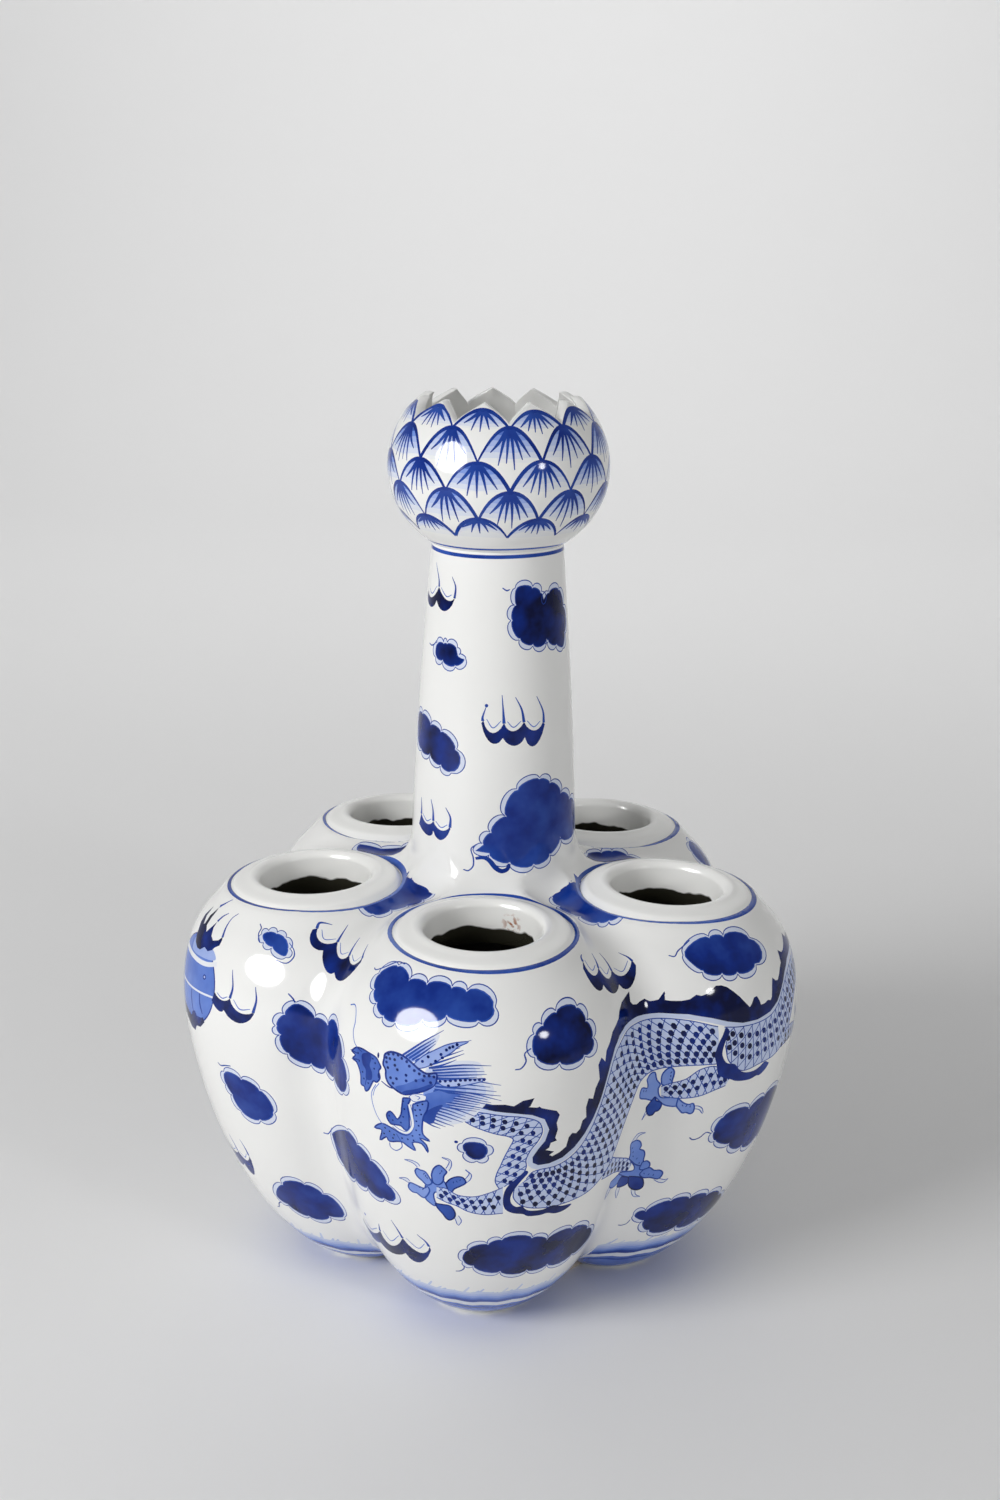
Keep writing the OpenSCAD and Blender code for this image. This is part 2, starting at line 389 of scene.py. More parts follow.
class LobeChart:
    """Flat map of one lobe: rays from its middle, spread out by a stereographic projection."""

    # Upward tip of the map's middle from the lobe's front, in degrees
    TIP = 12
    # Radii of the lip's hole and of the widest search for the lip's foot, from the lip's edge
    HOLE, FOOT_IN, FOOT_OUT = -1, -0.6, 1.4

    def __init__(self, skin, i):
        self.skin = skin
        self.i = i
        self.out, self.side = skin.way(i)
        lobe_up, _ = leaning(self.out, skin.lobe_tilt)
        self.middle = self.out * skin.lobe_base_r + lobe_up * skin.belly_h
        self.fore, self.pole = leaning(self.out, -math.radians(self.TIP))

    def flat(self, p):
        """Map position of points."""
        d = unit(p - self.middle)
        k = 2 / (1 + d @ self.pole)
        return np.stack([(d @ self.side) * k, (d @ self.fore) * k], -1)

    def rays(self, flat):
        """Directions of map positions."""
        q = (flat**2).sum(-1) / 4
        k = (1 / (1 + q))[:, None]
        return (flat[:, :1] * self.side + flat[:, 1:] * self.fore + (1 - q)[:, None] * self.pole) * k

    def polar(self, turn, lean):
        """Map positions at a turn about the map's middle and a lean from it."""
        r = 2 * np.tan(lean / 2)
        return np.stack([r * np.cos(turn), r * np.sin(turn)], -1)

    def reach(self, ray, r):
        """Points at distances along rays from the lobe's middle."""
        return self.middle + ray * r[:, None]

    def along(self, flat, value):
        """Points on each ray where a value goes from below zero to above."""
        ray = self.rays(flat)
        ends = np.full(len(ray), 5.0), np.full(len(ray), 95.0)
        near, _ = bisect(*ends, lambda r: value(self.reach(ray, r)) < 0, 20)
        return self.reach(ray, near)

    def surface(self, flat):
        """First point of the skin along each ray, looked for in steps about the lobe's own surface."""
        ray = self.rays(flat)
        own = self.along(flat, lambda p: self.skin.lobe(p, self.i))
        start = np.linalg.norm(own - self.middle, axis=-1) - 0.05
        found = np.full(len(ray), np.nan)
        back, ahead, step = -3.75, 9, 0.75
        for shift in np.arange(back, ahead, step):
            todo = np.flatnonzero(np.isnan(found))
            if not len(todo):
                break
            done = todo[self.skin.value(self.reach(ray, start + shift)[todo]) > 0]
            found[done] = (start + shift)[done]
        high = np.where(np.isnan(found), start + ahead, found)
        _, far = bisect(high - step, high, lambda r: self.skin.value(self.reach(ray, r)) < 0, 10)
        return self.reach(ray, far)

    def room(self, p):
        """Distance inside this lobe's own part: two seams, the table, the neck's sweep and the base."""
        half = math.pi / LOBES
        o, s = p @ self.out, np.abs(p @ self.side)
        seam = o * math.sin(half) - s * math.cos(half)
        inner = np.where(p[..., 2] > self.skin.belly_h, self.skin.ring_r, self.skin.ring_r + 9)
        ring = np.hypot(p[..., 0], p[..., 1]) - inner
        return np.minimum(np.minimum(seam, p[..., 2] - 0.05), ring)

    def round_mouth(self, turn, radius):
        """Points of the shoulder at a distance from the mouth's axis."""
        skin = self.skin
        axis, across = leaning(self.out, skin.mouth_tilt)
        foot = self.out * skin.mouth_ring_r + np.array([0, 0, skin.mouth_z])
        foot = foot + (radius * np.cos(turn))[:, None] * across + (radius * np.sin(turn))[:, None] * self.side
        return skin.leave(foot, axis, -30, 12, 20)

    def lip_line(self):
        """Blue line where the lip rises from the shoulder: four-cornered shapes and their tones."""
        skin = self.skin
        turn = np.linspace(0, 2 * math.pi, 121)
        slope = skin.lip_slope()[::-1]
        start = np.full(len(turn), np.nan)
        for r in np.arange(skin.rim_r + self.FOOT_IN, skin.rim_r + self.FOOT_OUT, 0.1):
            _, h = skin.about_mouth(self.round_mouth(turn, np.full(len(turn), r)), self.i)
            meets = np.isnan(start) & (h > np.interp(r, slope[:, 0], slope[:, 1]))
            start[meets] = r
        start = np.where(np.isnan(start), skin.rim_r + self.FOOT_OUT, start) - 0.1
        # The line swells and pales as the brush goes round
        swell = 1.45 + 0.25 * np.sin(turn + 0.9 + self.i) + 0.12 * np.sin(3 * turn + 2 * self.i)
        inner = self.round_mouth(turn, start + 0.25)
        outer = self.round_mouth(turn, start + swell)
        shapes = [np.array([inner[k], outer[k], outer[k + 1], inner[k + 1]]) for k in range(len(turn) - 1)]
        return shapes, 0.7 + 0.1 * np.sin(turn[:-1] + 0.5 * self.i)

    def edges(self, count=320):
        """Map outlines of the lip's hole and of the lobe's own part."""
        turn = np.linspace(0, 2 * math.pi, count, endpoint=False)
        hole = self.flat(self.round_mouth(turn[::2], np.full(count // 2, self.skin.rim_r + self.HOLE)))

        def clearance(lean):
            return self.room(self.surface(self.polar(turn, lean)))

        low, high = np.zeros(count), np.full(count, np.nan)
        for now in np.radians(np.arange(30, 150, 2.5)):
            high[np.isnan(high) & (clearance(np.full(count, now)) < 0)] = now
            low = np.where(np.isnan(high), now, low)
        low, _ = bisect(low, high, lambda lean: clearance(lean) > 0, 12)
        return hole, self.polar(turn, low)

    def grid(self, step):
        """Map positions about a step apart on the lobe, in staggered rings."""
        rows = []
        gap = step / self.skin.belly_r
        for k, lean in enumerate(np.arange(gap, math.radians(125), gap * ROW_GAP)):
            n = max(6, int(2 * math.pi * math.sin(lean) / gap))
            turn = (np.arange(n) + 0.5 * (k % 2)) * 2 * math.pi / n
            rows.append(self.polar(turn, np.full(n, lean)))
        flat = np.vstack(rows)
        return flat[self.room(self.surface(flat)) > 0.4 * step]


# Painting: closed shapes in a chart of azimuth in degrees and a second measure, mostly height in millimetres


class Painting:
    """Shapes laid one over the other, each with a tone from 0, white, to 1, deepest cobalt."""

    def __init__(self, mm_per_degree, up=1):
        self.scale = np.array([mm_per_degree, up])
        self.shapes = []
        self.tones = []

    def shape(self, points, tone):
        self.shapes.append(np.asarray(points, float)[:, :2])
        self.tones.append(tone)

    def blob(self, points, tone, per=5):
        """Filled shape with a smooth edge."""
        self.shape(spline(points, per, closed=True), tone)

    def brush(self, points, tone, width=0.45, ends=0.45, per=5):
        """Brush line; points may carry their own width in millimetres as a third number."""
        line = spline(points, per)
        p = line[:, :2] * self.scale
        if line.shape[1] > 2:
            w = line[:, 2]
        else:
            t = np.linspace(0, 1, len(p))
            w = width * (ends + (1 - ends) * np.sin(math.pi * np.clip(t, 0.02, 0.98)) ** 0.6)
        d = unit(np.gradient(p, axis=0))
        n = np.stack([-d[:, 1], d[:, 0]], -1) * w[:, None] / 2
        left, right = (p + n) / self.scale, (p - n) / self.scale
        for k in range(len(p) - 1):
            self.shape([left[k], left[k + 1], right[k + 1], right[k]], tone)

    def dot(self, at, size, tone, sides=8, turn=0.0):
        """Small oval of a half width and half height in millimetres."""
        a = np.arange(sides) * 2 * math.pi / sides
        oval = np.stack([size[0] * np.cos(a), size[1] * np.sin(a)], -1)
        c, s = math.cos(turn), math.sin(turn)
        self.shape(np.asarray(at) + (oval @ np.array([[c, s], [-s, c]])) / self.scale, tone)

    def arcs(self, cusps, bulge, gap=0.0, per=6, swell=0.0):
        """Scallops between cusps, each an elliptic arc; a third number is that arc's own bulge."""
        p = np.array([c[:2] for c in cusps], float) * self.scale
        own = [c[2] if len(c) > 2 else bulge for c in cusps]
        if np.sum(p[:, 0] * np.roll(p[:, 1], -1) - p[:, 1] * np.roll(p[:, 0], -1)) < 0:
            p = p[::-1]
            own = own[-2::-1] + own[-1:]
        edge = np.roll(p, -1, 0) - p
        out = unit(np.stack([edge[:, 1], -edge[:, 0]], -1))
        p = p + unit(out + np.roll(out, 1, 0)) * gap
        theta = np.linspace(0, math.pi, per + 1)[:, None]
        found = []
        for k in range(len(p)):
            a, b = p[k], p[(k + 1) % len(p)]
            bow = np.array([(b - a)[1], -(b - a)[0]])
            bow = bow * (own[k] + swell / max(np.linalg.norm(bow), TINY))
            found.append((a + (b - a) * (1 - np.cos(theta)) / 2 + bow * np.sin(theta)) / self.scale)
        return found

    def cloud(self, cusps, tone=0.95, tail=(), bulge=0.2, gap=0.55, line=0.3):
        """Lobed cloud: full cobalt body, a hazy gap and a line whose scallops spring from its cusps."""
        scallops = self.arcs(cusps, bulge, gap, swell=1.5 * gap)
        rims = ((scallops, 0.08), (self.arcs(cusps, bulge, 0.1), tone * 0.84),
                (self.arcs(cusps, bulge, -0.25), tone))
        for arcs, depth in rims:
            self.shape(np.vstack([a[:-1] for a in arcs]), depth)
        for arc in scallops:
            self.brush(arc, 0.76, line, ends=0.7, per=2)
        if len(tail):
            self.brush(tail, 0.76, line * 1.3, ends=0.7)

    def wave(self, top, low, hairs=(), tone=0.97, line=0.3):
        """Crested wave: a band between scalloped edges, given as tip, hollow, tip, with hairs on its tips."""
        t = np.linspace(0, 1, 9)[:, None]
        full = np.sin(math.pi * t) ** 0.7

        def edge(points):
            p = np.array(points, float)
            spans = zip(p[:-2:2], p[1::2], p[2::2])
            return np.vstack([a + (b - a) * t + (bow - (a + b) / 2) * full for a, bow, b in spans])

        self.shape(np.vstack([edge(top), edge(low)[::-1]]), tone)
        for hair in hairs:
            self.brush(np.column_stack([hair, np.linspace(line * 3, line * 0.6, len(hair))]), 0.75)
        for a, hollow, b in zip(top[:-2:2], top[1::2], top[2::2]):
            a, hollow, b = np.array([a, hollow, b])
            lift = 0.45 * ((a + b) / 2 - hollow)
            self.brush([0.7 * a + 0.3 * hollow + lift, hollow + lift, 0.7 * b + 0.3 * hollow + lift], 0.55,
                       line)

    def scales(self, side_a, side_b, pitch=2.75, ground=0.13, line=0.25, dot=0.82, tone=1.0):
        """Scaled hide between two edges whose points answer each other: net lines and dots."""
        a, b = spline(side_a, 8), spline(side_b, 8)
        self.shape(np.vstack([a, b[::-1]]), ground)
        mid = (a + b) / 2 * self.scale
        run = np.concatenate([[0], np.cumsum(np.linalg.norm(np.diff(mid, axis=0), axis=1))])
        wide = np.linalg.norm((a - b) * self.scale, axis=1).mean()
        slant = wide * 0.62

        def at(s, t):
            pa = np.stack([np.interp(s, run, a[:, k]) for k in (0, 1)], -1)
            pb = np.stack([np.interp(s, run, b[:, k]) for k in (0, 1)], -1)
            return pa * (1 - t)[:, None] + pb * t[:, None]

        t = np.linspace(0, 1, max(4, int(wide / 2)))
        for sign in (-1, 1):
            for s0 in np.arange(-slant, run[-1] + slant, pitch):
                s = s0 + sign * slant * (t - 0.5)
                ok = (s >= 0) & (s <= run[-1])
                if ok.sum() > 1:
                    self.brush(at(s[ok], t[ok]), 0.72, line, ends=1.0, per=1)
        first = -slant - pitch / 2
        count = int((run[-1] + 3 * slant) / pitch) + 2
        for i in range(count):
            for j in range(count):
                u, v = first + i * pitch - slant / 2, first + j * pitch + slant / 2
                s, across = (u + v) / 2, (u - v) / (2 * slant) + 0.5
                if 0.4 < s < run[-1] - 0.4 and 0.05 < across < 0.95:
                    spot = at(np.array([s]), np.array([across]))[0]
                    self.dot(spot, (dot * 0.9, dot * 1.15), tone, 8, turn=0.4)
        for side in (a, b):
            self.brush(side, 0.75, line * 1.2, ends=0.9, per=1)

    def borrow(self, other, low, high, turn):
        """Takes another painting's shapes between two azimuths, turned round the vase."""
        for shape, tone in list(zip(other.shapes, other.tones)):
            if shape[:, 0].min() > low and shape[:, 0].max() < high:
                self.shape(shape + [turn, 0], tone)

    def clipped(self, low, high):
        """Shapes and tones inside a band of azimuth, with long edges divided."""
        shapes, tones = [], []
        for shape, tone in zip(self.shapes, self.tones):
            p = shape
            for limit, sign in ((low, 1), (high, -1)):
                if len(p) and (sign * (p[:, 0] - limit)).min() < 0:
                    p = cut(p, limit, sign)
            if len(p) > 2:
                shapes.append(divide(p, self.scale, SHAPE_EDGE))
                tones.append(tone)
        return shapes, tones


def cut(p, limit, sign):
    """Part of a polygon on one side of an azimuth."""
    out = []
    for a, b in zip(p, np.roll(p, -1, 0)):
        da, db = sign * (a[0] - limit), sign * (b[0] - limit)
        if da >= 0:
            out.append(a)
        if da * db < 0:
            out.append(a + (b - a) * da / (da - db))
    return np.array(out).reshape(-1, 2)


def divide(p, scale, most):
    """Polygon with no edge longer than most, in millimetres."""
    out = []
    for a, b in zip(p, np.roll(p, -1, 0)):
        n = max(1, int(math.ceil(np.linalg.norm((b - a) * scale) / most)))
        out.extend(a + (b - a) * k / n for k in range(n))
    return np.array(out)


def enclosed(spots, ring):
    """Which spots a closed ring goes round, by its winding number."""
    turns = np.zeros(len(spots), int)
    x, y = spots[:, 0], spots[:, 1]
    for (ax, ay), (bx, by) in zip(ring, np.roll(ring, -1, 0)):
        side = (bx - ax) * (y - ay) - (x - ax) * (by - ay)
        turns += (ay <= y) & (by > y) & (side > 0)
        turns -= (ay > y) & (by <= y) & (side < 0)
    return turns != 0


def weave(own, holes, grid, shapes, tones):
    """Triangles of a map region with the painted shapes as real edges in it, and a tone for each."""
    rings = [own, *holes, *shapes]
    edges = []
    for start, ring in zip(np.cumsum([0] + [len(r) for r in rings]), rings):
        edges += [(start + k, start + (k + 1) % len(ring)) for k in range(len(ring))]
    verts = [Vector(v) for v in np.vstack([*rings, grid])]
    flat, _, tris, _, _, _ = delaunay_2d_cdt(verts, [(int(a), int(b)) for a, b in edges], [], 0, 1e-6, False)
    flat = np.array([v[:] for v in flat])
    tris = np.array(tris)
    middle = flat[tris].mean(1)
    keep = enclosed(middle, own)
    for hole in holes:
        keep &= ~enclosed(middle, hole)
    tris, middle = tris[keep], middle[keep]
    order = np.argsort(middle[:, 0])
    tris, middle = tris[order], middle[order]
    tone = np.zeros(len(tris))
    for shape, value in zip(shapes, tones):
        low, high = shape.min(0), shape.max(0)
        first, last = np.searchsorted(middle[:, 0], [low[0], high[0]])
        near = first + np.flatnonzero((middle[first:last, 1] > low[1]) & (middle[first:last, 1] < high[1]))
        tone[near[enclosed(middle[near], shape)]] = value
    used, inverse = np.unique(tris, return_inverse=True)
    return flat[used], inverse.reshape(-1, 3), tone


def link(thing):
    """Puts an object into the scene."""
    bpy.context.scene.collection.objects.link(thing)
    return thing


def make_piece(name, points, tris, normals, tone, material, uv=None):
    """Mesh object in metres with its tones, smooth normals and bake map."""
    a, b, c = (points[tris[:, k]] for k in range(3))
    facing = (np.cross(b - a, c - a) * normals[tris].mean(1)).sum(-1)
    tris = np.where((facing < 0)[:, None], tris[:, ::-1], tris)
    mesh = bpy.data.meshes.new(name)
    mesh.from_pydata((points / 1000).tolist(), [], tris.tolist())
    mesh.polygons.foreach_set("use_smooth", np.ones(len(tris), bool))
    mesh.attributes.new("tone", "FLOAT", "FACE").data.foreach_set("value", tone.astype(np.float32))
    if uv is not None:
        layer = mesh.uv_layers.new(name="OFBake")
        layer.uv.foreach_set("vector", uv[tris.reshape(-1)].astype(np.float32).reshape(-1))
    mesh.normals_split_custom_set_from_vertices(normals.tolist())
    mesh.materials.append(material)
    return link(bpy.data.objects.new(name, mesh))


def settle(piece, slot, *nodes):
    """Hangs a piece on the frame in place of its solids."""
    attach(piece, "root")
    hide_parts(*nodes)


def unit_square(flat):
    """Map positions moved into the unit square."""
    low, high = flat.min(0), flat.max(0)
    margin, width = 0.01, 0.98
    return margin + width * (flat - low) / (high - low).max()


# Motifs


def paint_clouds(art):
    """Clouds and crested waves of the lobes' front and sides."""
    art.cloud(
        [(14.2, 104.8), (18.4, 104.6), (19.9, 101.2), (21, 97, 0.4), (19.1, 93.6), (14.3, 93.6),
         (10.2, 96), (10.2, 101), (11.6, 102.6)],
        0.97, [(6.6, 93.2), (7.6, 93.4), (8.4, 95), (8.2, 96.9), (9.3, 98)],
    )
    art.cloud(
        [(-44.4, 88), (-43.2, 91.3), (-41.6, 94.4, 0.1), (-37.6, 91.4, 0.1), (-33.6, 90.8, 0.35),
         (-28.6, 91.4), (-26.8, 86.3), (-25.2, 81), (-26.5, 77), (-30.2, 78.8), (-34, 79.2),
         (-38, 78.6), (-42.3, 80.6), (-43.6, 85.8)],
        0.88, [(-43.4, 97), (-42.4, 95.8), (-41.9, 94.8)],
    )
    art.cloud(
        [(-57, 65.2), (-56.8, 69), (-52.7, 68.9), (-49, 67.2), (-47, 61), (-50.3, 57.6),
         (-54.6, 58.6, 0.15), (-55.9, 62.8, 0.1)],
        0.9, [(-58.4, 71.5), (-57.6, 71), (-56.3, 71.7), (-54.8, 72.3)],
    )
    art.cloud(
        [(-33.9, 58.3, 0.05), (-26.2, 64.9), (-23.3, 62.7), (-20, 60), (-16.6, 54.6, 0.6),
         (-17.9, 48.9), (-22, 50), (-26.2, 49.6), (-31, 50.2, 0.15), (-33, 53, 0)],
        0.93, [(-36.8, 57.4), (-35.4, 57.7), (-34.3, 59.2), (-33.5, 60.6)],
    )
    art.cloud(
        [(-54.8, 28.3, 0.1), (-50.6, 34.8), (-45, 36.9), (-42, 34.3, 0.35), (-39.6, 26.3, 0.1),
         (-43.3, 25.6), (-48.6, 24.1), (-52.6, 27)],
        0.92, [(-58, 22.9), (-57, 23.5), (-55.9, 25.4), (-54.6, 26.6)],
    )
    art.cloud(
        [(-2, 32), (-1, 36.5), (2.7, 38.8), (5.2, 40.4), (11, 39.7), (14.3, 37.6), (20, 38.6),
         (25, 35), (27.5, 30.5), (22.3, 27), (15.6, 27.2), (10.9, 27), (5.2, 28), (-0.2, 30.5)],
        1.0, [(-3.9, 27.4), (-3, 27.7), (-2.2, 28.8), (-2.1, 30.2)],
    )
    art.cloud(
        [(41.9, 30.6, 0.4), (43.9, 31.8), (48.2, 35.1), (52.6, 34.4), (57.6, 33.2), (63, 30),
         (67, 24.5), (61, 23), (54, 23.6), (47.2, 24), (44.6, 28.4, 0.1)],
        0.97, [(39, 27.2), (40, 26.9), (41, 27.4), (41.4, 29)],
    )
    art.cloud(
        [(52.3, 58), (53.4, 62), (60, 61.4), (64.4, 62.9), (72, 60), (77, 53), (68, 47.6),
         (62, 48.6), (57.2, 52, 0.1), (53.2, 54.8)],
        0.95, [(47.2, 57.6), (48, 56.7), (49.3, 57), (50.4, 58.3), (51.6, 57.6)],
    )
    art.cloud([(-1.5, 72.6), (1.9, 72.3), (2, 69.6), (0.6, 68.2), (-1.2, 70.4)], 1.0)
    art.dot((-2.8, 73.2), (0.5, 0.45), 0.8)
    art.wave(
        [(-28.4, 33), (-25.8, 30), (-21.3, 34.1), (-18.7, 30.3), (-14.8, 36), (-11.2, 32.3), (-8.8, 36)],
        [(-29, 31.5), (-27, 26.8), (-22.8, 28), (-19.2, 26.6), (-15, 29.8), (-11.8, 27.8), (-8.6, 34.5)],
        [[(-21.3, 34.1), (-21.2, 35.6), (-21, 37.2)], [(-14.8, 36), (-15.7, 38.7), (-16.9, 41.6)],
         [(-8.9, 35.8), (-9.6, 37.6), (-11.2, 39.5)]],
    )
    art.dot((-25.8, 36.9), (0.5, 0.5), 0.7)
    art.wave(
        [(-67, 41), (-64.5, 38.6), (-62, 40.4), (-59.6, 38.6), (-57.6, 41.5)],
        [(-67.4, 38.5), (-65, 34.5), (-62, 36), (-59.6, 33.5), (-57.4, 40)],
        [[(-62, 40.4), (-62.4, 43), (-63, 45.5)], [(-57.6, 41.5), (-57.8, 44), (-58.6, 46.5)]],
    )


def paint_crests(art, on):
    """Clouds, waves and flame tips high on the lobes, given by azimuth and distance from the axis."""
    art.cloud(
        on([(-20.6, 73), (-16.6, 73), (-13.3, 76.8), (-9.4, 78.4), (-4.6, 79.6), (-1.9, 80.3, 0.3),
            (2.9, 82.6, 0.35), (0.4, 84.7, 0.12), (-5, 83.8), (-9.2, 83.9), (-14.2, 83), (-16.8, 81.5),
            (-18.8, 79), (-20.3, 76.2)]),
        0.84, on([(-22.8, 70.6), (-22, 71.4), (-19.8, 71.6), (-17, 71.8), (-15, 73)]),
    )
    art.cloud(
        on([(48.5, 71.4), (55, 73.4), (57.8, 75.6), (63.2, 79.8, 0.5), (60.8, 83.2), (56.2, 81.4),
            (53.2, 79.3), (50, 76.2, 0.1)]),
        0.88, on([(45.7, 68.6), (46.6, 69.8), (47.8, 69.6), (49.6, 69.9), (51.2, 70.2)]),
    )
    art.cloud(
        on([(-53.4, 74.4), (-52.8, 73.2), (-51.2, 72), (-49.2, 71), (-47.2, 71.6), (-46.8, 72.8), (-50, 74),
            (-52, 74.8)]),
        0.8, on([(-55.7, 73.9), (-54.8, 74.1), (-54.4, 75.2), (-52.8, 75.9)]), bulge=0.15, line=0.26,
    )
    art.brush(on([(-47.7, 70.6), (-46, 70.6), (-45.2, 71.4), (-45.8, 73.3), (-48, 74.9)]), 0.7, 0.36)
    art.wave(
        on([(-45.4, 63.2), (-42.7, 64.4), (-39.8, 61.2), (-36.8, 64), (-34.4, 62.8), (-31.2, 65.8),
            (-28.8, 65)]),
        on([(-46, 64.4), (-44, 66.7), (-41.2, 65.2), (-38.4, 67.4), (-35.9, 67), (-32, 68.8), (-28.4, 66.6)]),
        [on([(-45.5, 63.4), (-45.9, 62.2), (-45, 60.9), (-43.7, 59.6)]),
         on([(-39.8, 61.4), (-40.3, 59.5), (-41.2, 56.2)]),
         on([(-34.4, 63), (-34.9, 61), (-35.4, 57.5)]), on([(-28.8, 65.4), (-29.8, 62.9), (-30.6, 60)])],
    )
    art.wave(
        on([(23, 67.2), (24.6, 70), (27.1, 66.6), (28.8, 68.4), (31.4, 65), (34.6, 65.6), (38.6, 63)]),
        on([(22.4, 69.4), (24.2, 73.2), (26.6, 71), (29, 71.2), (32, 67.9), (35.2, 67.8), (38.8, 64.6)]),
        [on([(23, 67.4), (22.9, 66.4), (23.4, 65.4)]), on([(27.1, 66.8), (27.4, 64.8), (27.3, 62.4)]),
         on([(31.4, 65.2), (31.2, 63), (30.4, 60.5)]), on([(38.6, 63.4), (38, 61.9), (36.5, 60.1)])],
    )
    for hair in (
        [(-69.2, 79.8, 0.8), (-68, 78.6, 0.5), (-66.6, 76.7, 0.2)],
        [(-66, 81.4, 0.8), (-65.6, 80, 0.5), (-64.5, 78.6, 0.2)],
        [(-61.4, 81.9, 0.8), (-62.5, 80.1, 0.5), (-62.7, 78.5, 0.3), (-61.9, 76.9, 0.2)],
    ):
        art.brush(on(hair), 0.75)
    art.cloud(on([(117, 70.4), (118.4, 67.6), (121, 68.4), (123, 71), (122, 75), (118.6, 74.4)]), 0.85)


